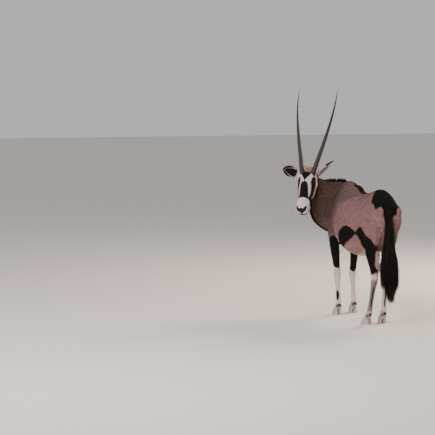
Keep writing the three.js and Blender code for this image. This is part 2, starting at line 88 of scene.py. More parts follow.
ahead = (math.cos(HEAD_TURN), math.sin(HEAD_TURN))
HEAD_AXES = np.array([
    [ahead[0] * math.cos(FACE_DROP), ahead[1] * math.cos(FACE_DROP), -math.sin(FACE_DROP)],
    [-ahead[1], ahead[0], 0],
    [ahead[0] * math.sin(FACE_DROP), ahead[1] * math.sin(FACE_DROP), math.cos(FACE_DROP)],
])


def turned(place):
    """f, l, z in millimetres to the scene's x, y, z in metres, before the last shift."""
    return np.array([place[1], -place[0], place[2]]) * MM


eye_low, eye_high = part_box("eye_left")
ORIGIN = np.array((eye_low + eye_high) / 2) - turned(BROW + EYE @ HEAD_AXES)
ANIMAL = Matrix(((0, MM, 0, ORIGIN[0]), (-MM, 0, 0, ORIGIN[1]), (0, 0, MM, ORIGIN[2]), (0, 0, 0, 1)))
head_turn = Matrix.Identity(4)
for axis in range(3):
    for row in range(3):
        head_turn[row][axis] = HEAD_AXES[axis][row]
    head_turn[axis][3] = BROW[axis]
HEAD = ANIMAL @ head_turn


def change(points, matrix):
    """Rows of points through a 4 by 4 matrix."""
    turn = np.array(matrix)
    return points @ turn[:3, :3].T + turn[:3, 3]


def to_animal(points):
    return change(points, ANIMAL.inverted())


def to_head(points):
    return change(points, HEAD.inverted())


print("frame shifted by", ORIGIN.round(4))

# %% [markdown]
# ## Camera, light and floor
# The picture is taken from behind and to the left, a little above the back and far away,
# so the lens is long. The camera is made first, since every later choice is judged
# through it. A pale floor, a large soft lamp from the left and a smaller warm one from
# behind on the right stand in for a studio.

# %% Camera, lamps and floor
PICTURE_SIZE, FOCAL_PIXELS, SENSOR = 435, 1914, 36
CAMERA_PLACE = (-15249.3, 6161.1, 2298.3)
CAMERA_AIM = (-0.28837, -0.95402, -0.08183)
view = bpy.data.cameras.new("camera")
view.sensor_width = SENSOR
view.lens = FOCAL_PIXELS * SENSOR / PICTURE_SIZE
camera = bpy.data.objects.new("camera", view)
bpy.context.collection.objects.link(camera)
camera.location = ANIMAL @ Vector(CAMERA_PLACE)
camera.rotation_euler = Vector(CAMERA_AIM).to_track_quat("-Z", "Y").to_euler()
bpy.context.scene.camera = camera

# Place, the spot it faces, size in metres, watts and tint
LAMPS = {
    "key": ((4.5, 4.0, 5.0), (0, 0, 0.9), 3.6, 440, (1.0, 0.92, 0.87)),
    "rim": ((-4.5, -2.5, 4.0), (0, 0, 1.0), 2.4, 420, (1.0, 0.80, 0.62)),
}
for name, (place, target, size, watts, tint) in LAMPS.items():
    light = bpy.data.lights.new(name, "AREA")
    light.size, light.energy, light.color = size, watts, tint
    lamp = bpy.data.objects.new(name, light)
    bpy.context.collection.objects.link(lamp)
    lamp.location = place
    lamp.rotation_euler = (Vector(target) - Vector(place)).to_track_quat("-Z", "Y").to_euler()

SKY_COLOUR, SKY_STRENGTH = (0.93, 0.90, 0.92, 1), 0.6
sky = bpy.data.worlds.new("studio")
sky.use_nodes = True
glow = sky.node_tree.nodes["Background"].inputs
glow["Color"].default_value, glow["Strength"].default_value = SKY_COLOUR, SKY_STRENGTH
bpy.context.scene.world = sky

FLOOR_HALF = 40
sheet = bmesh.new()
bmesh.ops.create_grid(sheet, x_segments=1, y_segments=1, size=FLOOR_HALF)
floor_mesh = bpy.data.meshes.new("floor")
sheet.to_mesh(floor_mesh)
sheet.free()
floor = bpy.data.objects.new("floor", floor_mesh)
bpy.context.collection.objects.link(floor)
print("camera lens", round(view.lens, 1), "mm")

# %% [markdown]
# ## Sums on sockets
# A coat's colour is mostly sums and products of masks. Wrapping a socket in a small
# class lets those be written as ordinary Python, and one method adds any other node.

# %% A socket that can be added and multiplied


class Wire:
    """One socket of a material's node tree."""

    def __init__(self, tree, socket=None):
        self.tree, self.socket = tree, socket

    def node(self, kind, settings=None, out=0, **sockets):
        """A new node: its settings first, then the values or wires of its sockets."""
        made = self.tree.nodes.new(kind)
        for name, value in (settings or {}).items():
            setattr(made, name, value)
        for name, value in sockets.items():
            key = int(name[1:]) if name[0] == "i" and name[1:].isdigit() else name.replace("_", " ")
            if isinstance(value, Wire):
                self.tree.links.new(value.socket, made.inputs[key])
            else:
                made.inputs[key].default_value = value
        return Wire(self.tree, made.outputs[out])

    def math(self, operation, a, b=0.0, clamp=False):
        return self.node("ShaderNodeMath", {"operation": operation, "use_clamp": clamp}, i0=a, i1=b)

    def __add__(self, other):
        return self.math("ADD", self, other)

    def __sub__(self, other):
        return self.math("SUBTRACT", self, other)

    def __mul__(self, other):
        return self.math("MULTIPLY", self, other)

    def __rsub__(self, other):
        return self.math("SUBTRACT", other, self)

    __radd__, __rmul__ = __add__, __mul__

    def clamp(self):
        return self.math("ADD", self, 0.0, clamp=True)

    def mix(self, base, over):
        """base where this is 0 and over where it is 1, both colours."""
        return self.node("ShaderNodeMix", {"data_type": "RGBA"}, out=2, i0=self, i6=base, i7=over)

    def times(self, other):
        """Two colours multiplied."""
        kind = {"data_type": "RGBA", "blend_type": "MULTIPLY"}
        return self.node("ShaderNodeMix", kind, out=2, i0=1.0, i6=self, i7=other)

    def read(self, key):
        """A number that the mesh keeps at every point."""
        return self.node("ShaderNodeAttribute", {"attribute_name": key}, out=2)

    def place(self):
        """The place on the object itself."""
        return self.node("ShaderNodeTexCoord", out=3)

    def cloud(self, scale, detail):
        """Cloudy noise over the object."""
        return self.node("ShaderNodeTexNoise", Vector=self.place(), Scale=scale, Detail=detail)

    def lines(self, detail):
        """Noise that changes only with this number."""
        return self.node("ShaderNodeTexNoise", {"noise_dimensions": "1D"}, W=self, Scale=1.0, Detail=detail)


def material(name, roughness, specular=0.35):
    """A new material: its tree as a Wire, and its shader's node."""
    made = bpy.data.materials.new(name)
    made.use_nodes = True
    shader = made.node_tree.nodes["Principled BSDF"]
    shader.inputs["Roughness"].default_value = roughness
    shader.inputs["Specular IOR Level"].default_value = specular
    return made, Wire(made.node_tree), shader


def feed(shader, name, wire):
    wire.tree.links.new(wire.socket, shader.inputs[name])


def roughen(shader, strength, depth, height):
    """A bump of this depth in metres."""
    feed(shader, "Normal", height.node("ShaderNodeBump", Strength=strength, Distance=depth, Height=height))


paper, tree, shader = material("floor_paper", 0.9, 0.1)
grain = tree.node("ShaderNodeTexNoise", Scale=3.0, Detail=2.0)
feed(shader, "Base Color", grain.mix((0.74, 0.71, 0.69, 1), (0.78, 0.75, 0.73, 1)))
floor_mesh.materials.append(paper)

# %% [markdown]
# ## Skins over rings
# A limb, a neck or an ear is a row of ovals with a skin pulled over them. In bmesh that
# is a circle whose edges are extruded from place to place. The rows between the measured
# ones come from a smooth curve through the numbers.

# %% Lofts, eggs and modifiers


def smooth_row(rows, t):
    """The row at t from 0 to 1 on a smooth curve through the rows."""
    rows = np.asarray(rows, float)
    last = len(rows) - 1
    place = min(t * last, last - 1e-9)
    i = int(place)
    u = place - i
    slope = [0 * rows[0] if k in (0, last) else (rows[k + 1] - rows[k - 1]) / 2 for k in (i, i + 1)]
    near, far = 2 * u**3 - 3 * u**2 + 1, -2 * u**3 + 3 * u**2
    return near * rows[i] + (u**3 - 2 * u**2 + u) * slope[0] + far * rows[i + 1] + (u**3 - u**2) * slope[1]


def unit(v):
    return v / np.linalg.norm(v)


def oval(centre, across, upward, half, top, bottom, ridge=0.0, keel=0.0):
    """A ring as a function of the cosine and sine of a turn."""

    def place_on(c, s):
        pinch = ridge * s**1.5 if s > 0 else keel * (-s) ** 1.5
        return centre + across * (half * c * (1 - pinch)) + upward * ((top if s > 0 else bottom) * s)

    return place_on


def loft(bm, rings, sides, matrix):
    """A closed skin over rings, placed by matrix."""
    verts = bmesh.ops.create_circle(bm, segments=sides, radius=1)["verts"]
    turns = {v: (v.co.x, v.co.y) for v in verts}
    edges = list(dict.fromkeys(e for v in verts for e in v.link_edges))
    bmesh.ops.edgeloop_fill(bm, edges=edges)
    made = []
    for i, ring in enumerate(rings):
        if i:
            grown = bmesh.ops.extrude_edge_only(bm, edges=edges)["geom"]
            verts = [g for g in grown if isinstance(g, bmesh.types.BMVert)]
            new = set(verts)
            edges = [
                g for g in grown
                if isinstance(g, bmesh.types.BMEdge) and g.verts[0] in new and g.verts[1] in new
            ]
            old = turns
            turns = {
                v: next(old[e.other_vert(v)] for e in v.link_edges if e.other_vert(v) in old)
                for v in verts
            }
        for v, (c, s) in turns.items():
            v.co = Vector(ring(c, s))
        made += verts
    bmesh.ops.edgeloop_fill(bm, edges=edges)
    bmesh.ops.transform(bm, matrix=matrix, verts=made)
    return made


def egg(bm, centre, radii, matrix, turn=(0, 0, 0), around=32, high=20):
    """An egg with these radii, turned about its own axes."""
    spin = Matrix.Identity(4)
    for angle, axis in zip(turn, "XYZ"):
        spin = spin @ Matrix.Rotation(math.radians(angle), 4, axis)
    place = matrix @ Matrix.Translation(Vector(centre)) @ spin @ Matrix.Diagonal((*radii, 1))
    bmesh.ops.create_uvsphere(bm, u_segments=around, v_segments=high, radius=1, matrix=place)


def mesh_from(bm, name):
    """The bmesh as a mesh, with its normals out."""
    bmesh.ops.recalc_face_normals(bm, faces=bm.faces)
    made = bpy.data.meshes.new(name)
    bm.to_mesh(made)
    bm.free()
    return made


def shaped(mesh, *steps):
    """The mesh after modifiers, each a type and its settings; a mesh given as object becomes one."""
    helpers = [bpy.data.objects.new("carrier", mesh)]
    bpy.context.collection.objects.link(helpers[0])
    for kind, settings in steps:
        step = helpers[0].modifiers.new(kind, kind)
        for key, value in settings.items():
            if key == "object":
                value = bpy.data.objects.new("cutter", value)
                bpy.context.collection.objects.link(value)
                helpers.append(value)
            setattr(step, key, value)
    graph = bpy.context.evaluated_depsgraph_get()
    made = bpy.data.meshes.new_from_object(helpers[0].evaluated_get(graph))
    for helper in helpers:
        bpy.data.objects.remove(helper)
    return made


def arrays(mesh):
    """A mesh's points, edges and triangles."""
    points = np.zeros(len(mesh.vertices) * 3)
    mesh.vertices.foreach_get("co", points)
    edges = np.zeros(len(mesh.edges) * 2, int)
    mesh.edges.foreach_get("vertices", edges)
    mesh.calc_loop_triangles()
    tris = np.zeros(len(mesh.loop_triangles) * 3, int)
    mesh.loop_triangles.foreach_get("vertices", tris)
    return points.reshape(-1, 3), edges.reshape(-1, 2), tris.reshape(-1, 3)


def facing_out(mesh):
    normals = np.zeros(len(mesh.vertices) * 3)
    mesh.vertex_normals.foreach_get("vector", normals)
    return normals.reshape(-1, 3)


def relax(values, edges, rounds, share=0.5, back=-0.53, weight=1.0):
    """Evens out values over a mesh. The step back keeps the shape's size."""
    count = np.maximum(np.bincount(edges.ravel(), minlength=len(values)), 1)[:, None]
    a, b = edges.T
    for step in [share, back] * rounds:
        if not step:
            continue
        total = np.stack([
            np.bincount(a, column[b], len(values)) + np.bincount(b, column[a], len(values))
            for column in values.T
        ], 1)
        values = values + step * weight * (total / count - values)
    return values


def put(mesh, points):
    mesh.vertices.foreach_set("co", points.ravel())
    mesh.update()


def without_scraps(mesh):
    """A copy of the mesh with only its largest island, and how many others it had."""
    bm = bmesh.new()
    bm.from_mesh(mesh)
    left, islands = dict.fromkeys(bm.verts), []
    while left:
        reach, island = [next(iter(left))], set()
        while reach:
            v = reach.pop()
            if v in island:
                continue
            island.add(v)
            reach += [e.other_vert(v) for e in v.link_edges]
        islands.append(island)
        left = {v: None for v in left if v not in island}
    islands.sort(key=len)
    for scrap in islands[:-1]:
        bmesh.ops.delete(bm, geom=list(scrap), context="VERTS")
    return mesh_from(bm, mesh.name), len(islands) - 1


# %% [markdown]
# ## The body under the skin
# The trunk and legs of the solids have the right shape already, in flat facets. A copy of
# them, with the neck and the tail's core lofted again and eggs for the swellings at
# gaskins, withers and pin bones, is remeshed on a fine grid, which fuses them, and then
# evened out until no facet is left. The neck twists as it goes: its ovals turn from the
# chest's heading to the head's.

# %% Neck rings and the tail's core
NECK = [
    [840, 42, 1190, 915, 42, 700, 132, 4, 0.5, 0.1],
    [943, 44, 1202, 1014, 59, 708, 126, 12, 0.5, 0.1],
    [1030, 60, 1208, 1105, 95, 716, 118, 24, 0.48, 0.15],
    [1098, 86, 1206, 1198, 170, 750, 110, 36, 0.45, 0.2],
    [1152, 118, 1202, 1266, 240, 818, 102, 50, 0.4, 0.25],
    [1198, 158, 1207, 1300, 276, 908, 92, 66, 0.35, 0.25],
    [1236, 204, 1230, 1306, 292, 1002, 81, 82, 0.3, 0.2],
    [1262, 246, 1284, 1290, 282, 1084, 69, 98, 0.2, 0.1],
    [1256, 272, 1318, 1264, 280, 1120, 54, 112, 0.1, 0.1],
]
UP = np.array([0.0, 0.0, 1.0])
FORWARD = np.array([1.0, 0.0, 0.0])


def neck_ring(t):
    """Crest, throat, across and the oval's numbers at t along the neck."""
    row = smooth_row(NECK, t)
    crest, throat, (half, heading, ridge, keel) = row[:3], row[3:6], row[6:]
    upward = unit(crest - throat)
    turn = math.radians(heading)
    across = np.array([-math.sin(turn), math.cos(turn), 0])
    across = unit(across - upward * (across @ upward))
    reach = np.linalg.norm(crest - throat) / 2
    return crest, throat, across, upward, (half, reach, reach, ridge, keel)


def neck_oval(t):
    crest, throat, across, upward, sizes = neck_ring(t)
    return oval((crest + throat) / 2, across, upward, *sizes)


DOCK = [
    [48, 0, 1000, 25, 28, 26],
    [8, 6, 990, 28, 28, 27],
    [-32, 18, 948, 27, 24, 24],
    [-50, 28, 870, 23, 19, 20],
    [-56, 34, 770, 24, 18, 19],
    [-55, 34, 660, 28, 20, 20],
    [-53, 32, 560, 28, 19, 19],
    [-51, 28, 480, 18, 12, 12],
    [-50, 26, 430, 6, 5, 5],
]


def limb_oval(rows, t, slimmer=0.0):
    """A ring square to the path of a limb, its top to the front."""
    a, b, c, half, top, bottom = smooth_row(rows, t)[:6]
    along = unit(smooth_row(rows, min(1, t + 0.01))[:3] - smooth_row(rows, max(0, t - 0.01))[:3])
    across = unit(np.cross(FORWARD, along))
    upward = unit(np.cross(along, across))
    return oval(np.array([a, b, c]), across, upward, half - slimmer, top - slimmer, bottom - slimmer)


# %% Fuse the body
FLESH = ["torso"] + [
    f"{side}_{end}_{part}_leg"
    for side in ("left", "right")
    for end in ("fore", "hind")
    for part in ("upper", "lower")
]
BODY_GRID = 0.0075
# Centre and radii: gaskins, withers and pin bones
GASKINS = ((112, 80, 600), (84, 86, 520), (150, -32, 600), (132, -20, 520))
BODY_EGGS = [(place, (32, 25, 64)) for place in GASKINS]
BODY_EGGS += [((742, 24, 1103), (128, 64, 86)), ((48, 72, 986), (58, 42, 70)), ((48, -74, 986), (58, 42, 70))]
NECK_RINGS = 40

bm = bmesh.new()
for name in FLESH:
    bm.from_mesh(nodes[name].data)
bmesh.ops.remove_doubles(bm, verts=bm.verts, dist=1e-5)
loft(bm, [neck_oval(t) for t in np.linspace(0, 1, NECK_RINGS)], 48, ANIMAL)
loft(bm, [limb_oval(DOCK, t, 4) for t in np.linspace(0, 1, NECK_RINGS)], 24, ANIMAL)
for centre, radii in BODY_EGGS:
    egg(bm, centre, radii, ANIMAL)
body = shaped(mesh_from(bm, "body"), ("REMESH", {"mode": "VOXEL", "voxel_size": BODY_GRID}))
body, scraps = without_scraps(body)
points, edges, tris = arrays(body)
print("body", len(points), "points,", len(tris), "triangles,", scraps, "scraps dropped")

# %% [markdown]
# ## Skin folds of the body
# A coat lies over muscles. The turned neck throws upright folds on its inner side, the
# elbow and the flank have a crease, and ribs and shoulder show as broad swellings. Each
# is a push along the normals that fades out from a line, so no sculpting by hand is
# needed and the result is the same every time.

# %% Smooth the body and press in its folds


def away_from(points, line):
    """How far points are from a line through places, and how far along it, from 0 to 1."""
    line = np.asarray(line, float)
    best = np.full(len(points), 1e9)
    share = np.zeros(len(points))
    for i, (a, b) in enumerate(zip(line[:-1], line[1:])):
        t = np.clip((points - a) @ (b - a) / ((b - a) @ (b - a)), 0, 1)
        far = np.linalg.norm(points - a - t[:, None] * (b - a), axis=1)
        nearer = far < best
        best[nearer] = far[nearer]
        share[nearer] = (i + t[nearer]) / (len(line) - 1)
    return best, share


def press(mesh, lines, to_frame):
    """Pushes a mesh out along lines: places, reach and height in millimetres, both sides or one."""
    points = arrays(mesh)[0]
    normals = facing_out(mesh)
    local = to_frame(points)
    push = np.zeros(len(points))
    for places, reach, height in lines:
        far, share = away_from(local, places)
        push += height * np.exp(-((far / reach) ** 2)) * np.sin(np.pi * np.clip(share, 0.12, 0.88))
    put(mesh, points + normals * push[:, None] * MM)


BODY_ROUNDS = 30
points = relax(points, edges, BODY_ROUNDS)
put(body, points)
folds = []
for i, t in enumerate((0.30, 0.38, 0.455, 0.53, 0.60)):
    crest, throat, across, upward, (half, *_) = neck_ring(t)
    middle = (crest + throat) / 2
    outer = [
        middle + across * half * 0.86 * math.cos(a) + upward * 190 * math.sin(a)
        for a in np.linspace(-0.75, 0.85, 7)
    ]
    folds.append((outer, 13, -5.5 if i % 2 == 0 else -4))
    beside = np.array([-24.0, 8.0, 0] if i < 3 else [-14.0, -18.0, 0])
    folds.append(([p + beside for p in outer], 15, 3.5))
folds += [
    ([(870, 165, 800), (905, 170, 700), (930, 165, 640)], 20, -6),
    ([(800, 190, 1080), (860, 190, 930), (930, 190, 790)], 34, 6),
    ([(980, 190, 1010), (1010, 200, 900), (1010, 190, 790)], 30, -5),
    ([(395, 150, 640), (330, 160, 720), (290, 165, 800)], 26, -6),
    ([(250, 165, 1000), (230, 175, 880), (250, 170, 760)], 40, 6),
    ([(330, 140, 1090), (330, 170, 980)], 34, -6),
]
RIB_GAP = 62
for f in range(470, 470 + 5 * RIB_GAP, RIB_GAP):
    folds.append(([(f + 46, 170, 1040), (f + 8, 222, 900), (f, 222, 760)], 15, 2.6))
press(body, folds, to_animal)
print("body smoothed,", len(folds), "folds")

# %% [markdown]
# ## The head
# An antelope's skull is long and narrow: deep at the jaw, slim at the bridge, wide again
# at the lips. The same lofting gives that wedge. Lips, chin, cheeks, lids and nose are
# eggs sunk into it, and a fine grid fuses everything, ears included. The ears are leaf
# shapes with a second, smaller leaf cut out of the front.

# %% Head and ears
SKULL = [
    [-42, -72, -98, -128, 24, 0, 0],
    [-20, -38, -92, -152, 56, 0.1, 0.1],
    [30, -10, -80, -186, 72, 0.14, 0.25],
    [85, 2, -56, -202, 81, 0.12, 0.26],
    [132, 7, -42, -198, 84, 0.1, 0.22],
    [178, 5, -48, -186, 80, 0.2, 0.18],
    [226, 1, -58, -168, 73, 0.28, 0.16],
    [278, -3, -64, -152, 64, 0.3, 0.16],
    [326, -3, -62, -143, 60, 0.24, 0.18],
    [368, -3, -60, -144, 64, 0.2, 0.26],
    [404, -8, -62, -144, 65, 0.16, 0.3],
    [428, -22, -66, -138, 60, 0.1, 0.2],
    [444, -44, -76, -118, 38, 0, 0.1],
    [449, -64, -82, -100, 14, 0, 0],
]
ASIDE = np.array([0.0, 1.0, 0.0])


def skull_oval(t):
    x, high, level, low, half, ridge, keel = smooth_row(SKULL, t)
    return oval(np.array([x, 0, level]), ASIDE, UP, half, high - level, level - low, ridge, keel)


EAR_LENGTH = 222
EARS = {
    "left": ((44, 58, -104), (-0.67, 0.69, 0.25), (0.61, 0.73, -0.1)),
    "right": ((44, -64, -104), (-0.36, -0.93, 0.05), (0.48, 0.33, 0.82)),
}
# Share of the length, half width, depth of the back. The right ear is opened wide to
# the viewer and the left one is folded to a point.
EAR_ROWS = {
    "left": [
        [-0.12, 15, 15], [0.02, 21, 19], [0.16, 30, 24], [0.34, 40, 26],
        [0.54, 43, 22], [0.74, 32, 14], [0.9, 16, 7], [1.0, 3, 3],
    ],
    "right": [
        [-0.12, 15, 15], [0.02, 20, 19], [0.16, 30, 24], [0.34, 44, 27],
        [0.54, 51, 24], [0.74, 49, 17], [0.88, 36, 11], [0.96, 19, 6], [1.0, 5, 3],
    ],
}


def ear_axes(side):
    root, aim, mouth = (np.array(v, float) for v in EARS[side])
    along = unit(aim)
    front = unit(mouth - along * (mouth @ along))
    return root, along, front, unit(np.cross(front, along))


def ear_rings(side, hollow, wall=5.0):
    root, along, front, across = ear_axes(side)
    for i in range(30):
        share, half, deep = smooth_row(EAR_ROWS[side], i / 29)
        centre = root + along * share * EAR_LENGTH
        if not hollow:
            yield oval(centre, across, front, half, deep * 0.5, deep)
            continue
        wide = min(1, max(0, (share - 0.05) / 0.16), max(0, 1.02 - share) / 0.2)
        half, back = max(half - wall, 0.8) * (0.35 + 0.65 * wide), max(deep - wall, 0.8) * (0.3 + 0.7 * wide)
        yield oval(centre + front * deep * (1.5 - 1.3 * wide), across, front, half, deep * 1.3, back)


HEAD_GRID = 0.0024
# Centre and radii on the left, and again on the right
FACE_EGGS = [
    ((390, 30, -86), (53, 38, 22)),    # upper lip
    (tuple(EYE), (29.5, 22.5, 21.5)),  # lids
    ((424, 28, -44), (20, 16, 19)),    # side of the nose
    ((122, 53, -122), (70, 32, 54)),   # jaw muscle
    ((190, 50, -112), (90, 25, 42)),   # cheek
    ((46, 56, -96), (34, 24, 28)),     # root of the ear
    ((74, 44, -22), (34, 27, 26)),     # root of the horn
]
CHIN = ((392, 0, -134), (54, 38, 22))

bm = bmesh.new()
loft(bm, [skull_oval(t) for t in np.linspace(0, 1, 60)], 64, HEAD)
for side in (1, -1):
    for (x, y, z), radii in FACE_EGGS:
        egg(bm, (x, y * side, z), radii, HEAD)
egg(bm, *CHIN, HEAD)
ears = {}
for name in EARS:
    shell, hollow = bmesh.new(), bmesh.new()
    loft(shell, list(ear_rings(name, False)), 48, HEAD)
    loft(hollow, list(ear_rings(name, True)), 40, HEAD)
    ears[name] = shaped(
        mesh_from(shell, "shell"),
        ("BOOLEAN", {"operation": "DIFFERENCE", "solver": "MANIFOLD", "object": mesh_from(hollow, "hollow")}),
    )
    bm.from_mesh(ears[name])
head = shaped(mesh_from(bm, "head"), ("REMESH", {"mode": "VOXEL", "voxel_size": HEAD_GRID}))
head, scraps = without_scraps(head)
points, edges, tris = arrays(head)
put(head, relax(points, edges, 5))
print("head", len(points), "points,", len(tris), "triangles,", scraps, "scraps dropped")

# %% [markdown]
# ## What makes a face
# Under the thin skin of the face the bone shows: a brow over each eye, a cheekbone that
# runs forward, a hollow before the eye, a heavy jaw muscle. Small pushes add them, and a
# narrow pull makes the line of the mouth. Lids are rolled edges round an almond opening,
# with a groove above, and nostrils are slanted commas.

# %% Press the face
both = lambda places: [places, [(x, -y, z) for x, y, z in places]]
features = [
    ([(96, 66, -14), (124, 77, -12), (152, 74, -18)], 9, 3.5),     # brow
    ([(104, 70, -20), (130, 84, -21), (158, 76, -27)], 3.2, -2.6), # fold over the upper lid
    ([(112, 76, -58), (138, 84, -57), (162, 76, -50)], 3.2, -2.0), # fold under the lower lid
    ([(152, 76, -64), (200, 64, -72), (255, 54, -74)], 11, 3.2),   # cheekbone
    ([(172, 66, -40), (215, 55, -52), (250, 50, -58)], 13, -3.5),  # hollow before the eye
    ([(210, 48, -110), (270, 46, -104), (330, 48, -104)], 17, -3.2), # hollow of the cheek
    ([(90, 64, -165), (140, 58, -172), (185, 50, -160)], 17, 3.5), # edge of the jaw
    ([(345, 50, -66), (395, 52, -66), (425, 40, -70)], 9, 2.0),    # upper lip
    ([(402, 38, -22), (422, 45, -34), (428, 42, -52)], 5, 2.4),    # rim of the nostril
    ([(60, 30, -4), (150, 24, 4), (230, 18, 0)], 10, 1.2),         # edge of the forehead
    ([(46, 30, -2), (78, 48, 2), (108, 58, -14)], 8, 2.6),         # collar of the horn
]
lines = [(side, reach, height) for places, reach, height in features for side in both(places)]
press(head, lines, to_head)
points, edges, tris = arrays(head)
MOUTH_LEVEL, MOUTH_SLOPE, MOUTH_REACH = -113, 0.105, 322


def above_mouth(x, z):
    """Height over the line where the lips meet."""
    return z - (MOUTH_LEVEL + MOUTH_SLOPE * (x - 430))


x, _, z = to_head(points).T
lip_gap = above_mouth(x, z)
line = np.exp(-((lip_gap / 2.3) ** 2)) * np.clip((x - MOUTH_REACH) / 12, 0, 1)
puff = np.exp(-(((np.abs(lip_gap) - 8) / 5) ** 2)) * np.clip((x - MOUTH_REACH) / 30, 0, 1)
put(head, points + facing_out(head) * ((1.6 * puff - 6.5 * line) * MM)[:, None])
print("face pressed with", 2 * len(features), "lines")

# %% [markdown]
# ## One skin
# Head and body are joined by a boolean union, and the join is evened out so that nothing
# shows where they met. Then the whole skin sinks by the depth of the coat, which is
# thicker on the trunk than on the face, because the hair will fill that space again.

# %% Join, sink and open the skin
skin = shaped(body, ("BOOLEAN", {"operation": "UNION", "solver": "MANIFOLD", "object": head.copy()}))
points, edges, tris = arrays(skin)
trees = [BVHTree.FromPolygons(*(a.tolist() for a in arrays(m)[::2])) for m in (body, head)]
from_poll = to_head(points)[:, 0]
near_join = np.zeros(len(points))
JOIN_REACH = 0.02
for i in np.nonzero((from_poll < 240) & (from_poll > -260))[0]:
    far = [tree.find_nearest(points[i], JOIN_REACH)[3] for tree in trees]
    if None not in far:
        near_join[i] = 1 - max(far) / JOIN_REACH
near_join = relax(near_join[:, None], edges, 6, back=0)
near_join = np.clip(near_join * 2.5, 0, 1)
points = relax(points, edges, 40, share=0.6, back=0, weight=near_join)
put(skin, points)
print("skin joined:", len(points), "points,", len(tris), "triangles,", int((near_join > 0).sum()), "evened")


def on_head(points, soft=0.008):
    """1 on the head and ears and 0 on the body, with a soft edge."""
    to_body, to_skull = (np.array([tree.find_nearest(p)[3] for p in points]) for tree in trees)
    return np.clip((to_body - to_skull) / soft + 0.5, 0, 1)


height = to_animal(points)[:, 2]
BODY_DEPTH, SHIN_DEPTH, FACE_DEPTH = 4.2, 2.2, 1.3
depth = SHIN_DEPTH + (BODY_DEPTH - SHIN_DEPTH) * np.clip((height - 420) / 250, 0, 1)
depth += (FACE_DEPTH - depth) * on_head(points)
put(skin, points - facing_out(skin) * (depth * MM)[:, None])

sockets, openings = bmesh.new(), bmesh.new()
for side in (1, -1):
    egg(sockets, EYE * (1, side, 1), [EYE_RADIUS + 0.4] * 3, HEAD)
    egg(openings, (EYE[0] + 9, (EYE[1] + 18) * side, EYE[2]), (18.5, 20, 11.8), HEAD, (0, 14, 0))  # lids
    egg(openings, (431, 30 * side, -40), (15, 5.6, 15), HEAD, (-38 * side, -16, 0))  # nostril
sockets, openings = mesh_from(sockets, "sockets"), mesh_from(openings, "openings")
skin = shaped(
    skin,
    ("BOOLEAN", {"operation": "DIFFERENCE", "solver": "MANIFOLD", "object": sockets}),
    ("BOOLEAN", {"operation": "DIFFERENCE", "solver": "MANIFOLD", "object": openings}),
)
MOST_SKIN = 196000
count = len(arrays(skin)[2])
skin = shaped(skin, ("DECIMATE", {"ratio": min(1, MOST_SKIN / count), "use_collapse_triangulate": True}))


def in_order(mesh):
    """The same triangles numbered by place, so that every run draws the same hair on them."""
    points, _, tris = arrays(mesh)
    order = np.lexsort(points.T)
    tris = np.argsort(order)[tris]
    tris = np.take_along_axis(tris, (tris.argmin(1)[:, None] + np.arange(3)) % 3, 1)
    made = bpy.data.meshes.new("skin")
    made.from_pydata(points[order].tolist(), [], tris[np.lexsort(tris.T[::-1])].tolist())
    return made


skin = in_order(skin)
points, edges, tris = arrays(skin)
print("skin", len(points), "points,", len(tris), "triangles, from", count)

# %% [markdown]
# ## Markings as distances
# A gemsbok's black bands have sharp edges, so a painted blur would look wrong. Each mark
# is a shape in the side view, along a line or round a leg, and what is kept at every
# point is how far inside the shape it lies, in millimetres. The material turns that into
# a crisp edge and can break it up a little, and skin and hair share the same numbers.

# %% How far inside a shape


def blend(value, low, high):
    return np.clip((value - low) / (high - low), 0, 1)


def table(value, rows):
    """A number read from rows of place and number."""
    rows = np.asarray(rows, float)
    order = np.argsort(rows[:, 0])
    return np.interp(value, rows[order, 0], rows[order, 1])


def stripe(points, line, halves):
    """Inside a stripe along a line whose half width changes."""
    far, share = away_from(points, line)
    return np.interp(share, np.linspace(0, 1, len(halves)), halves) - far


def outline(points, corners):
    """Inside a closed outline in two directions: the distance to its edge, minus outside."""
    corners = np.asarray(corners, float)
    far = away_from(points, np.vstack([corners, corners[:1]]))[0]
    inside = np.zeros(len(points), bool)
    x, y = points.T
    for (ax, ay), (bx, by) in zip(corners, np.roll(corners, -1, 0)):
        cross = (ay > y) != (by > y)
        inside ^= cross & (x < (bx - ax) * (y - ay) / (by - ay + 1e-12) + ax)
    return np.where(inside, far, -far)


# %% Where the legs stand
# Height, then forward and left of the leg's middle there
FORE = {
    "left": [(690, 982, 152), (356, 942, 131), (112, 926, 128), (58, 948, 130)],
    "right": [(690, 1006, -66), (356, 1040, -52), (112, 1006, -51), (58, 1028, -50)],
}
HIND = {
    "left": [
        (800, 205, 84), (715, 226, 84), (620, 165, 95), (520, 112, 102), (432, 84, 107), (116, 206, 107),
        (58, 258, 110),
    ],
    "right": [
        (800, 205, -60), (715, 226, -60), (620, 190, -50), (520, 155, -38), (430, 160, -26), (116, 238, -38),
        (58, 286, -42),
    ],
}
LEFT_OF = {"left": 1, "right": -1}
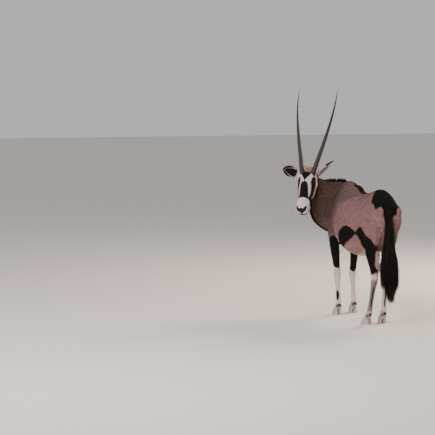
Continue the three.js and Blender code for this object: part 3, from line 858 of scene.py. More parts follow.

# %% [markdown]
# ## Where each mark lies
# The flank's band and the black of the shoulder are outlines in the side view, the croup
# is a width on each side of the back's middle line, and the throat's line is a stripe
# through places. Leg marks are measured from the leg's own middle. Smoke grey is kept in
# the same way as black and white; on the rear of the left hind cannon and inside the right
# ear that grey is painted shade.

# %% Marks of the body
# Forward and up
FLANK_BAND = [
    (910, 640), (880, 668), (845, 684), (800, 694), (768, 710), (735, 734), (695, 766), (640, 803),
    (588, 831), (522, 853), (462, 841), (411, 819), (388, 804), (362, 824), (330, 848), (292, 859),
    (266, 857), (258, 826), (246, 792), (200, 774), (146, 763), (119, 742), (106, 722), (108, 686),
    (106, 650), (98, 610), (88, 572), (76, 540), (62, 512), (52, 486), (66, 460), (96, 462),
    (112, 440), (132, 470), (156, 520), (210, 560), (290, 598), (352, 636), (378, 668), (374, 706),
    (368, 742), (383, 776), (396, 786), (414, 777), (484, 740), (539, 712), (600, 690), (653, 668),
    (700, 650), (760, 636), (880, 626),
]
SHOULDER_BLACK = [
    (1030, 640), (1006, 682), (980, 708), (950, 724), (926, 728), (908, 712), (902, 684), (905, 640),
    (900, 560), (1030, 560),
]
# Forward, and the half width of the black on the near side and on the far side
CROUP = [
    (-60, 18), (-40, 32), (-27, 47), (-15, 57), (11, 66), (47, 84), (80, 104), (115, 112), (173, 109),
    (200, 90), (236, 58), (268, 32), (300, 18), (330, 9), (440, 9), (490, 20), (560, 25), (730, 25),
    (765, 16), (790, 5), (900, 4), (1050, 0),
]
CROUP_FAR = [(-60, 2), (-49, 6), (-27, 18), (-15, 42), (11, 74), (36, 102), (62, 112), (80, 112)]
# Forward, and how far left the middle line of the back lies, and how high
SHIFT = [(-30, 6), (120, 2), (310, 0), (530, 8), (640, 16), (740, 27), (830, 28), (920, 40), (1010, 58)]
BACK = [
    (-30, 940), (40, 1082), (120, 1152), (210, 1182), (310, 1170), (530, 1128), (640, 1136),
    (740, 1184), (830, 1217), (920, 1214), (1010, 1168), (1090, 1090),
]
THROAT_BLACK = [
    (1240, 292, 1010), (1252, 290, 960), (1262, 286, 917), (1240, 268, 861), (1225, 232, 806),
    (1140, 150, 748), (1060, 60, 705), (1000, 20, 690),
]
TO_VIEWER, ACROSS_VIEW = np.array([-0.93, 0.37]), np.array([0.37, 0.93])


def round_leg(animal, legs, side):
    """Forwards and outwards of a leg's middle, in millimetres."""
    rows = np.array(legs[side], float)
    order = np.argsort(rows[:, 0])
    level = np.clip(animal[:, 2], rows[:, 0].min(), rows[:, 0].max())
    f = np.interp(level, rows[order, 0], rows[order, 1])
    l = np.interp(level, rows[order, 0], rows[order, 2])
    return animal[:, 0] - f, (animal[:, 1] - l) * LEFT_OF[side]


def least(*parts):
    return np.minimum.reduce(parts)


def most(*parts):
    return np.maximum.reduce(parts)


NECK_STEPS = np.linspace(0, 1, 25)
CREST = np.array([neck_ring(t)[0] for t in NECK_STEPS])
THROAT = np.array([neck_ring(t)[1] for t in NECK_STEPS])
NECK_LINE = (CREST + THROAT) / 2


def body_marks(animal):
    """Black, white and smoky grey on everything but the head; the grey on the rear of the left hind cannon is
    painted shade.
    """
    f, l, z = animal.T
    side_view = animal[:, [0, 2]]
    middle = table(f, SHIFT)
    croup = np.where((l < middle) & (f < 80), table(f, CROUP_FAR), table(f, CROUP))
    top = least(croup - np.abs(l - middle), z - (table(f, BACK) - 95 - 70 * blend(f, 60, -20)))
    top = np.where(l < middle, least(top, z - 955 - 0.57 * (middle - l)), top)
    dock = stripe(animal, [row[:3] for row in DOCK[1:]], [26, 27, 27, 28, 30, 30, 30, 30])
    black = [
        top, least(dock, -6 - f),
        stripe(animal, CREST[3:17], [0, 4] + [7] * 11 + [2]),
        stripe(animal, THROAT_BLACK, [20, 25, 27, 25, 21, 17, 14, 10]),
    ]
    flank = least(outline(side_view, FLANK_BAND), f - 330)
    black.append(least(flank, np.abs(l - middle * 0.5) - 60))
    white = [least(655 - z, 75 - np.abs(l - 10), 900 - f, f - 300)]
    smoke_and_shade = []
    for side, sign in LEFT_OF.items():
        ahead, out = round_leg(animal, HIND, side)
        here = sign * (l - 12)
        lag = f - ahead
        left_lag = f - round_leg(animal, HIND, "left")[0]
        moved = np.column_stack([f - (lag - left_lag), z])  # the right thigh wears the left one's mark
        hind = least(560 - f, here - 4)
        thigh = least(outline(moved, FLANK_BAND), 430 - f, out + 14 + 40 * blend(z, 640, 800))
        black.append(least(thigh, hind))
        rear = -ahead * 0.8 + out * 0.6
        if side == "left":
            # The grey on the rear of the left hind cannon is painted shade.
            smoke_and_shade.append(least(hind, 412 - z, z - 118, 8 + rear, out + 20))
            thin = table(z, [(140, -4), (180, 6), (260, 5), (330, 6), (376, -4)])
            black.append(least(hind, thin - np.abs(out - 3 - 0.03 * (z - 150)), rear))
        else:
            thin = table(z, [(130, -4), (170, 6), (300, 7), (390, -4)])
            black.append(least(hind, thin - np.abs(out + 2), -ahead))
        smoke_and_shade.append(least(hind, 20 - np.abs(z - 88), -ahead - 6, 19 - np.abs(out)))
        black.append(least(hind, 9 - np.abs(z - 96), -ahead - 10, 12 - np.abs(out)))
        white += [least(hind, 452 - z), least(hind, 610 - z, -20 - out)]
        ahead, out = round_leg(animal, FORE, side)
        fore = least(f - 760, sign * (l - 38))
        low = 446 + 0.6 * ahead if side == "left" else 372 + 1.1 * np.abs(out + 6)
        front = table(z, [(356, 26), (450, 33), (600, 52), (690, 74)])
        garter = least(z - low, 668 - z, front - ahead + 8 * np.abs(out) / 30)
        up_top = least(outline(side_view, SHOULDER_BLACK), front - ahead + 16, out + 10)
        black.append(least(fore, most(garter, up_top)))
        seen = np.column_stack([ahead, out]) @ TO_VIEWER
        aside = np.abs(np.column_stack([ahead, out]) @ ACROSS_VIEW - 4)
        lens = table(z, [(126, -6), (146, 10), (185, 15), (218, 10), (240, -6)])
        black.append(least(fore, lens - aside - (10 if side == "right" else 0), seen))
        smoke_and_shade.append(least(fore, 19 - np.abs(z - 86), -ahead - 6, 18 - np.abs(out)))
        black.append(least(fore, 9 - np.abs(z - 94), -ahead - 10, 12 - np.abs(out)))
        white.append(least(fore, low + 40 - z))
        elbow = [(745, 812), (780, 776), (812, 750), (842, 712), (862, 684)]
        streak = stripe(side_view, elbow, [3, 8, 11, 12, 9])
        white.append(least(fore, streak))
        white.append(least(fore, 700 - z, ahead - front))
        white.append(least(fore, 720 - z, -18 - out))
    return most(*black), most(*white), most(*smoke_and_shade)


# Along the head, and half width of the black between the horns and down the nose
FOREHEAD = [(10, 30), (20, 44), (58, 52), (82, 42), (108, 24), (132, 9), (150, 3)]
NOSE_BLACK = [(156, -2), (160, 18), (168, 30), (200, 36), (234, 39), (270, 41), (304, 44), (320, 45)]
# Along the head and up
CHEEK_BLACK = [
    (100, -14), (120, -8), (150, -6), (170, -11), (202, -22), (238, -34), (285, -41), (306, -34),
    (322, -28), (330, -44), (354, -86), (336, -96), (300, -94), (250, -92), (200, -88), (160, -80),
    (130, -60), (108, -46), (92, -30),
]
JAW_EDGE = [
    (-12, -40), (40, -74), (80, -100), (125, -118), (175, -127), (235, -128), (295, -120), (342, -104),
]
OUTSIDE = -30.0


def head_marks(local):
    """Black, white and bare skin on the head, in its own frame."""
    x, y, z = local.T
    y = y - table(x, [(20, -4), (100, -9), (150, -9), (320, 3), (360, 0)])
    front = z + 46 - 20 * blend(x, 300, 400)
    brow_black = least(table(x, FOREHEAD) - np.abs(y), 151 - x, x - 8, front)
    thread = least(3.2 - np.abs(y), x - 120, 176 - x, front)
    blaze = least(table(x, NOSE_BLACK) - np.abs(y), x - 156, 322 - x, front + 10)
    y = local[:, 1]
    sides = np.column_stack([x, z])
    cheek = least(outline(sides, CHEEK_BLACK), np.abs(y) - 33)
    to_horn = least(stripe(sides, [(44, -10), (70, -18), (100, -28)], [2, 3, 7]), np.abs(y) - 33)
    jaw = least(stripe(sides, JAW_EDGE, [8, 9, 10, 10, 10, 11, 12, 12]), np.abs(y) - 20)
    under = least(13 - np.abs(y), -z - 140, x - 60, 330 - x)
    folded = np.column_stack([x, np.abs(y), z])
    nose = most(
        stripe(folded, [(445, 0, -54), (438, 15, -44), (426, 32, -34), (405, 44, -27)], [14, 16, 15, 8]),
        stripe(folded, [(430, 0, -34), (448, 0, -72)], [16, 9]),
    )
    lip = least(5.5 - np.abs(above_mouth(x, z)), x - MOUTH_REACH)
    lip = most(lip, least(7 - np.abs(z + 95), x - 436))
    from_eye = np.column_stack([x - EYE[0] - 2, np.abs(y) - EYE[1] - 10, (z - EYE[2]) * 1.25])
    ring = EYE_RADIUS + 8 - np.linalg.norm(from_eye, axis=1)
    black = most(brow_black, thread, blaze, cheek, to_horn, jaw, under, nose, lip, ring)
    bare = most(nose, lip - 1)
    white = least(x - 40, most(z - table(x, JAW_EDGE), x - 300))
    return black, white, bare


UP_LOCAL = HEAD_AXES @ UP
EAR_REACH = 66


def along_ear(local, name):
    """Which points lie close to an ear, and how far along it."""
    root, along, _, _ = ear_axes(name)
    far, share = away_from(local, [root, root + along * EAR_LENGTH])
    return far < EAR_REACH, share


def ear_marks(local, out, name):
    """Black, pale cup and grey of one ear, and how far along it the points lie. Inside the right ear the
    black hollow and the grey are painted shade.
    """
    root, along, front, across = ear_axes(name)
    rel = local - root
    share = rel @ along / EAR_LENGTH
    spots = np.linspace(-0.12, 1, 40)
    wide = np.array([smooth_row(EAR_ROWS[name], (s + 0.12) / 1.12)[1] for s in spots])
    half = np.interp(share, spots, wide)
    place = rel @ across / np.maximum(half, 4)
    level = 1 if (across @ UP_LOCAL) > 0 else -1
    inside = out @ front > 0.12
    tip = (share - 0.90) * EAR_LENGTH
    if name == "left":
        patch = least((share - 0.62) * EAR_LENGTH, (place * level + 0.25) * 60)
        cup = (0.80 - np.abs(place)) * 30
        black = most(tip, patch)
    else:
        # Inside the right ear the black hollow and the grey band are painted shade.
        rim = least((np.abs(place) - 0.86) * 60, (share - 0.45) * 200)
        hollow = least((0.68 - np.abs(place)) * 60, (share - 0.36) * 200, (0.88 - share) * 200)
        cup = np.full(len(share), -9.0)
        black = most(tip, rim, np.where(inside, hollow, -9.0))
    # The grey inside the right ear is painted shade.
    smoke_and_shade = np.where(inside & (name == "right"), (share - 0.34) * 200, OUTSIDE)
    return black, np.where(inside, cup, -9.0), smoke_and_shade, share


def marks(points):
    """Every mark at every point: a dictionary of arrays."""
    animal, local = to_animal(points), to_head(points)
    here = on_head(points)
    black, white, smoke_and_shade = body_marks(animal)
    head_black, head_white, bare = head_marks(local)
    black = np.where(here > 0.5, head_black, black)
    white = np.where(here > 0.5, head_white, white)
    smoke_and_shade = np.where(here > 0.5, OUTSIDE, smoke_and_shade)
    bare = np.where(here > 0.5, bare, -20.0)
    cup = np.full(len(points), -20.0)
    world_out = facing_out(skin)
    out = np.column_stack([-world_out[:, 1], world_out[:, 0], world_out[:, 2]]) @ HEAD_AXES.T
    for name in EARS:
        ear_black, ear_cup, ear_painted_shade, share = ear_marks(local, out, name)
        on_ear = along_ear(local, name)[0] & (share > 0.1) & (here > 0.4)
        black = np.where(on_ear, ear_black, black)
        white = np.where(on_ear, 10.0, white)
        cup = np.where(on_ear, ear_cup, cup)
        smoke_and_shade = np.where(on_ear, ear_painted_shade, smoke_and_shade)
    f, l, z = animal.T
    # The neck's brown is partly its own colour and partly painted shade.
    past = f - 770 + 2.3 * np.maximum(0, z - 1020) - 0.28 * np.clip(950 - z, 0, 200)
    brown_and_shade = 0.52 * blend(past, -30, 45) + 0.48 * blend(f - 0.5 * np.maximum(0, z - 1080), 820, 960)
    brown_and_shade *= blend(z, 640, 740) * (0.68 + 0.32 * blend(z, 760, 900))
    x = local[:, 0]
    behind_jaw = blend(table(x, JAW_EDGE) - local[:, 2], 0, 12) * blend(x, 310, 280)
    brown_and_shade = brown_and_shade * (1 - here) + 0.85 * behind_jaw * here
    # The pale mix is the lower body's paler coat; its warm tint in the material is painted reflected light.
    return {
        "black": black, "white": white, "bare": bare, "cup": cup, "smoke_and_shade": smoke_and_shade,
        "brown_and_shade": np.clip(brown_and_shade, 0, 1), "pale": 0.5 * blend(z, 760, 640) * (1 - here),
    }


skin_marks = marks(points)
print("marked", {k: round(float((v > 0).mean()), 3) for k, v in skin_marks.items()})

# %% [markdown]
# ## The lie of the coat
# Hair doesn't point anywhere: it runs back along the trunk, down the neck and legs, from
# the nose towards the ears, and out along each ear. Every point of the skin is given the
# direction of the part it lies nearest to, and the directions are then evened out, so that
# one part's lie flows into the next as on a live animal.

# %% Directions over the skin


def coat_lie(points, edges):
    """The direction of the hair at every point, in the scene's frame."""
    animal, local = to_animal(points), to_head(points)
    here = on_head(points)
    f, l, z = animal.T
    lie = np.tile([-1.0, 0, -0.42], (len(points), 1))
    rump = blend(f, 160, 0)[:, None]
    lie += rump * np.array([0.35, 0, -0.9])
    down = blend(z, 760, 600)[:, None]
    lie = lie * (1 - down) + down * np.array([-0.12, 0, -1.0])
    step = np.array([np.linalg.norm(animal - p, axis=1) for p in NECK_LINE[4:]]).argmin(0) + 4
    tangent = NECK_LINE[np.maximum(step - 1, 0)] - NECK_LINE[np.minimum(step + 1, len(NECK_LINE) - 1)]
    tangent /= np.linalg.norm(tangent, axis=1)[:, None]
    tangent[:, 2] -= 0.35
    on_neck = (blend(f, 860, 1020) * blend(z, 700, 780))[:, None]
    lie = lie * (1 - on_neck) + on_neck * tangent
    aside = 0.45 * np.sign(local[:, 1]) * blend(np.abs(local[:, 1]), 0, 30)
    face = np.column_stack([-np.ones(len(points)), aside, -0.25 * np.ones(len(points))])
    lie = np.where((here > 0.5)[:, None], face @ HEAD_AXES, lie)
    for name in EARS:
        close, share = along_ear(local, name)
        lie[close & (share > 0.02) & (here > 0.3)] = ear_axes(name)[1] @ HEAD_AXES
    world = np.column_stack([lie[:, 1], -lie[:, 0], lie[:, 2]])
    world = relax(world, edges, 14, share=0.8, back=0)
    return world / np.linalg.norm(world, axis=1)[:, None]


lie = coat_lie(points, edges)
print("lie of the coat over", len(lie), "points")

# %% [markdown]
# ## Materials of the coat
# Fawn hair is a little paler at the tip, and no two tufts match. The neck goes over into
# brown, partly its own colour and partly painted shade, and the belly into a paler fawn,
# warmed as painted reflected light. The black is a very dark brown, the white has a touch
# of pink, smoke grey lies on the back of the pasterns, painted shade greys the rear of one
# hind cannon and darkens the inside of the right ear, and the bare skin of nose and lips is
# almost black. Skin and hair read the same numbers from their meshes, so that a tuft at a
# band's edge is exactly as dark as the skin under it.

# %% The coat's material


def coat_material(name, hair):
    """The coat's finish. hair is 1 on tufts, which carry their own shade, and 0 on skin."""
    made, tree, shader = material(name, 0.72, 0.10)
    cloud, fleck = tree.cloud(7.0, 3.0), tree.cloud(160.0, 2.0)
    long_hair = tree.node("ShaderNodeMapping", Vector=tree.place(), Scale=(420, 120, 120))
    strand = tree.node("ShaderNodeTexNoise", Vector=long_hair, Scale=1.0, Detail=2.0)
    ragged = (fleck - 0.5) * 9.0
    edge = lambda key, soft: ((tree.read(key) + ragged) * (1 / soft) + 0.5).clamp()
    fawn = cloud.mix((0.272, 0.153, 0.152, 1), (0.385, 0.230, 0.232, 1))
    # The neck's brown is partly its own colour and partly painted shade.
    fawn = tree.read("brown_and_shade").mix(fawn, (0.078, 0.043, 0.032, 1))
    # Towards the belly the fawn turns a warm cream: the belly's own paler coat, warmed as painted reflected
    # light.
    fawn = tree.read("pale").mix(fawn, (0.58, 0.42, 0.33, 1))
    white = cloud.mix((0.68, 0.57, 0.58, 1), (0.82, 0.71, 0.72, 1))
    colour = edge("white", 10.0).mix(fawn, white)
    # Smoke grey on the back of the pasterns; on the rear of the left hind cannon and inside the right ear
    # this grey is painted shade.
    smoke_and_shade = cloud.mix((0.075, 0.062, 0.066, 1), (0.21, 0.175, 0.18, 1))
    colour = (edge("smoke_and_shade", 26.0) * 0.82).mix(colour, smoke_and_shade)
    colour = edge("cup", 6.0).mix(colour, (0.60, 0.50, 0.52, 1))
    black = cloud.mix((0.0045, 0.0035, 0.0032, 1), (0.0105, 0.0080, 0.0070, 1))
    colour = edge("black", 5.0).mix(colour, black)
    if hair:
        worn = tree.read("shade")
        deep = colour.times(worn.mix((0.74, 0.73, 0.73, 1), (1.16, 1.14, 1.12, 1)))
        colour = tree.read("tip").mix(deep, (worn * 0.14).mix(deep, (0.9, 0.82, 0.76, 1)))
        colour = edge("black", 5.0).mix(colour, deep)
    else:
        skin_dark = colour.times(strand.mix((0.70, 0.68, 0.67, 1), (1.08, 1.07, 1.06, 1)))
        bare = fleck.mix((0.007, 0.006, 0.006, 1), (0.020, 0.017, 0.017, 1))
        colour = edge("bare", 4.0).mix(skin_dark, bare)
    feed(shader, "Base Color", colour)
    gloss = 0.78 - tree.read("tip") * 0.12 if hair else 0.80 - edge("bare", 4.0) * 0.36
    feed(shader, "Roughness", gloss)
    roughen(shader, 0.5, 0.0012, strand + fleck * 0.6)
    shader.inputs["Sheen Weight"].default_value = 0.03
    shader.inputs["Sheen Roughness"].default_value = 0.5
    return made


def give(mesh, numbers):
    """Keeps arrays of one number a point on the mesh."""
    for key, values in numbers.items():
        layer = mesh.attributes.new(key, "FLOAT", "POINT")
        layer.data.foreach_set("value", np.ascontiguousarray(values, np.float32))


def show(mesh, name, made, slot, *replaced):
    """The mesh as a piece that rides on the body and stands for solids."""
    piece = bpy.data.objects.new(name, mesh)
    bpy.context.collection.objects.link(piece)
    mesh.name = name
    mesh.materials.clear()
    mesh.materials.append(made)
    mesh.polygons.foreach_set("use_smooth", np.ones(len(mesh.polygons), bool))
    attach(piece, "root")
    if replaced:
        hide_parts(*replaced)


skin_finish = coat_material("short_coat_skin", 0)
hair_finish = coat_material("short_coat_hair", 1)
give(skin, skin_marks)
LIMBS = [name for name in FLESH if name != "torso"]
COVERED = ["torso", "neck", "head", "tail", "ear_left", "ear_right", *LIMBS]
show(skin, "skin", skin_finish, "fawn_coat", *COVERED)
print("skin shown")

# %% [markdown]
# ## Hair as thin solid blades
# Particle hair would look right in a render and then be lost when the model is exported,
# so every tuft here is a real, closed mesh: a three-sided blade that ends in a point. One
# blade is made with bmesh, and copies of it are laid along as many paths as needed. An
# unwrap of the skin gives each tuft a tiny patch of its own at its root's place, so that
# colours can later be baked on the skin and the tufts alike.

# %% One blade, and many along paths


def blade(levels):
    """Points across, up and along, and triangles, of a blade with rings at these levels."""
    bm = bmesh.new()
    corner = lambda t: lambda c, s: np.array([c, 0.5 + s, t])
    loft(bm, [corner(t) for t in levels], 3, Matrix.Identity(4))
    bm.verts.ensure_lookup_table()
    tip = [v for v in bm.verts if v.co.z > levels[-1] - 1e-6]
    bmesh.ops.pointmerge(bm, verts=tip, merge_co=Vector((0, 0, levels[-1])))
    bmesh.ops.triangulate(bm, faces=bm.faces)
    bmesh.ops.recalc_face_normals(bm, faces=bm.faces)
    bm.verts.index_update()
    spots = np.array([v.co[:] for v in bm.verts])
    sides = np.array([[v.index for v in f.verts] for f in bm.faces])
    bm.free()
    return spots, sides


PATCH = 0.003


def unit_rows(v):
    return v / np.maximum(np.linalg.norm(v, axis=1), 1e-9)[:, None]


def strands(name, paths, up, width, thick, levels, numbers, patch):
    """One mesh of blades. paths is strands by levels by 3; up faces away from the skin."""
    spots, sides = blade(levels)
    step = np.abs(spots[:, 2, None] - np.asarray(levels)).argmin(1)
    total, each = len(paths), len(spots)
    way = np.gradient(paths, axis=1)
    way /= np.maximum(np.linalg.norm(way, axis=2), 1e-9)[:, :, None]
    across = np.cross(way, up[:, None, :])
    across /= np.maximum(np.linalg.norm(across, axis=2), 1e-9)[:, :, None]
    rise = np.cross(across, way)
    taper = np.array([0.8] + [1 - 0.75 * t**1.6 for t in levels[1:-1]] + [0.0])[step]
    points = (
        paths[:, step]
        + across[:, step] * (spots[:, 0] * taper)[None, :, None] * (width * 0.5)[:, None, None]
        + rise[:, step] * (spots[:, 1] * taper)[None, :, None] * thick[:, None, None]
    ).reshape(-1, 3)
    faces = (sides[None] + (np.arange(total) * each)[:, None, None]).reshape(-1, 3)
    mesh = bpy.data.meshes.new(name)
    mesh.vertices.add(len(points))
    mesh.vertices.foreach_set("co", points.ravel())
    mesh.loops.add(faces.size)
    mesh.loops.foreach_set("vertex_index", faces.ravel())
    mesh.polygons.add(len(faces))
    mesh.polygons.foreach_set("loop_start", np.arange(0, faces.size, 3))
    mesh.update(calc_edges=True)
    give(mesh, {key: np.repeat(values, each) for key, values in numbers.items()})
    give(mesh, {"tip": np.tile(spots[:, 2] / levels[-1], total)})
    spread = np.column_stack([spots[:, 0] * 0.5, spots[:, 2] / levels[-1] - 0.5]) * PATCH
    corners = (patch[:, None, :] + spread[None]).reshape(-1, 2)[faces.ravel()]
    mesh.uv_layers.new(name="OFBake").data.foreach_set("uv", corners.ravel())
    return mesh


def unwrapped(mesh):
    """The place of each triangle's corners on an unwrap of a copy of the mesh."""
    copy = mesh.copy()
    carrier = bpy.data.objects.new("carrier", copy)
    bpy.context.collection.objects.link(carrier)
    bpy.context.view_layer.objects.active = carrier
    carrier.select_set(True)
    bpy.ops.object.mode_set(mode="EDIT")
    bpy.ops.mesh.select_all(action="SELECT")
    bpy.ops.uv.smart_project(angle_limit=1.2, island_margin=0.001)
    bpy.ops.object.mode_set(mode="OBJECT")
    flat = np.zeros(len(copy.loops) * 2)
    copy.uv_layers.active.data.foreach_get("uv", flat)
    copy.calc_loop_triangles()
    loops = np.zeros(len(copy.loop_triangles) * 3, int)
    copy.loop_triangles.foreach_get("loops", loops)
    bpy.data.objects.remove(carrier)
    return flat.reshape(-1, 2)[loops].reshape(-1, 3, 2)


skin_flat = unwrapped(skin)
skin_out = facing_out(skin)
random = np.random.default_rng(20)
print("unwrapped", len(skin_flat), "triangles")

# %% [markdown]
# ## The short coat
# The coat of the trunk is about two centimetres long and lies nearly flat; on the legs it
# is half of that and on the face a few millimetres. Roots are drawn at random over the
# skin, more where the hair is small. Each tuft starts just under the skin, follows the
# lie of the coat with a little disorder, and lifts at its tip.

# %% Tufts over the skin


def roots(weight, count):
    """Random places on the skin: the triangle and its corners' shares."""
    a, b, c = (points[tris[:, k]] for k in range(3))
    area = np.linalg.norm(np.cross(b - a, c - a), axis=1) * weight[tris].mean(1)
    picked = random.choice(len(tris), count, p=area / area.sum())
    shares = random.random((count, 2))
    over = shares.sum(1) > 1
    shares[over] = 1 - shares[over]
    return picked, np.column_stack([1 - shares.sum(1), shares])


def coat(name, weight, count, length, width, lift, sink, stray=0.22, levels=(0, 0.5, 1)):
    """A piece of short coat. length and width are arrays over the skin's points, in mm."""
    picked, shares = roots(weight, count)

    def mean(values):
        return (values[tris[picked]] * shares.reshape(count, 3, *[1] * (values.ndim - 1))).sum(1)

    place, out = mean(points), unit_rows(mean(skin_out))
    way = mean(lie) + random.normal(0, stray, (count, 3))
    way = unit_rows(way - out * (way * out).sum(1)[:, None])
    long = mean(length) * (0.75 + 0.5 * random.random(count)) * MM
    wide = mean(width) * (0.8 + 0.4 * random.random(count)) * MM
    t = np.asarray(levels)[None, :, None]
    slope = math.sin(math.radians(lift)) * (0.6 + 0.8 * random.random(count))[:, None, None]
    paths = (
        place[:, None] - out[:, None] * sink * MM
        + way[:, None] * long[:, None, None] * t
        + out[:, None] * long[:, None, None] * slope * t * (1.25 - 0.35 * t)
    )
    numbers = {key: mean(values) for key, values in skin_marks.items()}
    numbers["shade"] = random.random(count)
    patch = (skin_flat[picked] * shares[:, :, None]).sum(1)
    mesh = strands(name, paths, out, wide, wide * 0.16, levels, numbers, patch)
    show(mesh, name, hair_finish, "fawn_coat")
    return len(mesh.polygons)


animal_points, head_points = to_animal(points), to_head(points)
f, l, z = animal_points.T
face = on_head(points)
ear_here, ear_share = np.zeros(len(points)), np.zeros(len(points))
for name in EARS:
    close, share = along_ear(head_points, name)
    ear_here = np.maximum(ear_here, close & (share > 0.08) & (face > 0.3))
    ear_share = np.where(close & (share > 0.08), share, ear_share)
on_ear = ear_here > 0.5
hidden = away_from(animal_points, [row[:3] for row in DOCK[3:]])[0] < 32
near_eye = away_from(np.abs(head_points), [np.abs(EYE), np.abs(EYE) + 1])[0] < 24
bald = (skin_marks["bare"] > -3) | near_eye
trunk = (1 - face) * blend(z, 560, 640) * ~hidden
legs = (1 - face) * (z < 600) * (z > 62) * ~hidden
low = blend(z, 620, 470)
long_hair = (21 - 10 * low - 3 * blend(z, 200, 100)) * (1 - face)
long_hair = long_hair + face * (8.5 - 3.2 * blend(head_points[:, 0], 60, 400))
long_hair = np.where(on_ear, 10 - 6 * ear_share, long_hair)
wide_hair = (6.2 - 2.9 * low) * (1 - face) + face * 2.5
wide_hair = np.where(on_ear, 2.8, wide_hair)
NECK_FROM, SIDES_MEET = 840, 8
# Where it grows, tufts, degrees of lift and millimetres under the skin
COATS = {
    "coat_trunk_left": (trunk * (f < NECK_FROM) * (l > SIDES_MEET), 17000, 13, 0.9),
    "coat_trunk_right": (trunk * (f < NECK_FROM) * (l <= SIDES_MEET), 16000, 13, 0.9),
    "coat_neck": (trunk * (f >= NECK_FROM), 18500, 13, 0.9),
    "coat_legs": (legs, 18500, 11, 0.9),
    "coat_head": (np.clip(face - ear_here, 0, 1) * ~bald, 18500, 10, 0.5),
    "coat_ears": (ear_here, 9000, 9, 0.4),
}
laid = {
    name: coat(name, weight, count, long_hair, wide_hair, lift, sink)
    for name, (weight, count, lift, sink) in COATS.items()
}
print("coat laid, triangles:", laid)

# %% [markdown]
# ## Mane, tail and tufts
# Long hair gathers in locks: the strands of one lock start apart and end together. The
# short mane stands up along the crest of the neck and leans back, the tail hangs almost
# to the fetlocks, and a small pale tuft grows between the horns. The insides of the ears
# carry long soft hair at their rims.

# %% Long hair


def hair_material(name, dark, light, roughness):
    """Long hair: dark at the root, with fine lengthwise changes."""
    made, tree, shader = material(name, roughness, 0.22)
    cloud = tree.cloud(24.0, 2.0)
    tint = (tree.read("shade") * 0.55 + tree.read("tip") * 0.3 + (cloud - 0.5) * 0.5).clamp()
    feed(shader, "Base Color", tint.mix(dark, light))
    feed(shader, "Roughness", roughness - tree.read("shade") * 0.1)
    roughen(shader, 0.3, 0.001, cloud)
    return made


ear_pale = hair_material("soft_ear_hair", (0.50, 0.40, 0.38, 1), (0.84, 0.76, 0.74, 1), 0.7)
black_hair = hair_material(
    "mane_and_tail_hair", (0.003, 0.0025, 0.0023, 1), (0.016, 0.0115, 0.009, 1), 0.52
)
pale_hair = hair_material("pale_tuft_hair", (0.32, 0.21, 0.16, 1), (0.66, 0.50, 0.40, 1), 0.65)


def nearest_patch(places):
    """Where places lie on the skin's unwrap, by the nearest triangle."""
    found = [skin_tree.find_nearest(p)[2] for p in places]
    return skin_flat[found].mean(1)


def gathered(lock_paths, per_lock, spread, wander, levels, gather):
    """Strands round each lock's path that start apart and end together."""
    locks = np.repeat(lock_paths, per_lock, 0)
    count = len(locks)
    off = random.normal(0, 1, (count, 3)) * np.repeat(spread, per_lock)[:, None]
    t = np.asarray(levels)[None, :, None]
    bend = random.normal(0, wander, (count, 1, 3))
    reach = np.linalg.norm(locks[:, -1] - locks[:, 0], axis=1)[:, None, None]
    return locks + off[:, None] * (1 - gather * t) + bend * t**2 * reach


def long_piece(name, paths, up, width, levels, finish, slot, to_world=ANIMAL):
    """A piece of long hair from paths in millimetres; its number of triangles."""
    count = len(paths)
    world = change(paths.reshape(-1, 3), to_world).reshape(paths.shape)
    turn = np.array(to_world)[:3, :3] / MM
    numbers = {"shade": random.random(count)}
    wide = width * (0.7 + 0.6 * random.random(count)) * MM
    up, patch = unit_rows(up @ turn.T), nearest_patch(world[:, 0])
    mesh = strands(name, world, up, wide, wide * 0.32, levels, numbers, patch)
    show(mesh, name, finish, slot)
    return len(mesh.polygons)


skin_tree = BVHTree.FromPolygons(points.tolist(), tris.tolist())
LONG = (0, 0.12, 0.28, 0.46, 0.64, 0.82, 1)
t = np.asarray(LONG)[None, :, None]

# The tail's locks hang within this half width at each height, thin above and ragged below
BRUSH = [
    (214, 16), (242, 28), (285, 42), (328, 55), (372, 67), (458, 71), (570, 66), (673, 51), (760, 36),
    (880, 27), (960, 24),
]
BRUSH_MIDDLE = [
    (214, 12), (300, 18), (372, 22), (458, 30), (570, 34), (673, 36), (760, 36), (880, 30), (960, 16),
]
BRUSH_BACK = [(214, -62), (458, -66), (673, -62), (880, -50), (960, -32)]
lock_paths, outs = [], []
TAIL_LOCKS, TAIL_EACH = 130, 34
down_share = t[0, :, 0]
for i in range(TAIL_LOCKS):
    share = (i + random.random()) / TAIL_LOCKS
    turn = i * 2.4 + random.random() * 0.6
    aside_part, back_part = math.cos(turn), math.sin(turn)
    spread = 0.35 + 0.65 * math.sqrt(random.random())
    highest = 935 - 430 * share
    lowest = 206 + 130 * abs(aside_part * spread) ** 1.2 + 95 * random.random() ** 2.2
    lowest = max(lowest, highest - 420 - 60 * random.random())
    down = highest + (lowest - highest) * down_share
    wide = table(down, BRUSH) * spread
    wave = (4 + 5 * random.random()) * np.sin(down / 30 + 6 * random.random()) * down_share
    astray = random.normal(0, 8) * down_share**3
    lock_paths.append(np.column_stack([
        table(down, BRUSH_BACK) + wide * back_part * 0.55,
        table(down, BRUSH_MIDDLE) + wide * aside_part + wave + astray,
        down,
    ]))
    outs.append(np.array([back_part, aside_part, 0]))
spread = 4.8 + 2.5 * random.random(TAIL_LOCKS)
tail_paths = gathered(np.array(lock_paths), TAIL_EACH, spread, 0.031, LONG, 0.9)
tail_up = np.repeat(np.array(outs), TAIL_EACH, 0)
middle = len(tail_paths) // 2
tail_made = [
    long_piece(name, tail_paths[part], tail_up[part], 4.2, LONG, black_hair, "black_hair")
    for name, part in (("tail_hair_upper", slice(None, middle)), ("tail_hair_lower", slice(middle, None)))
]

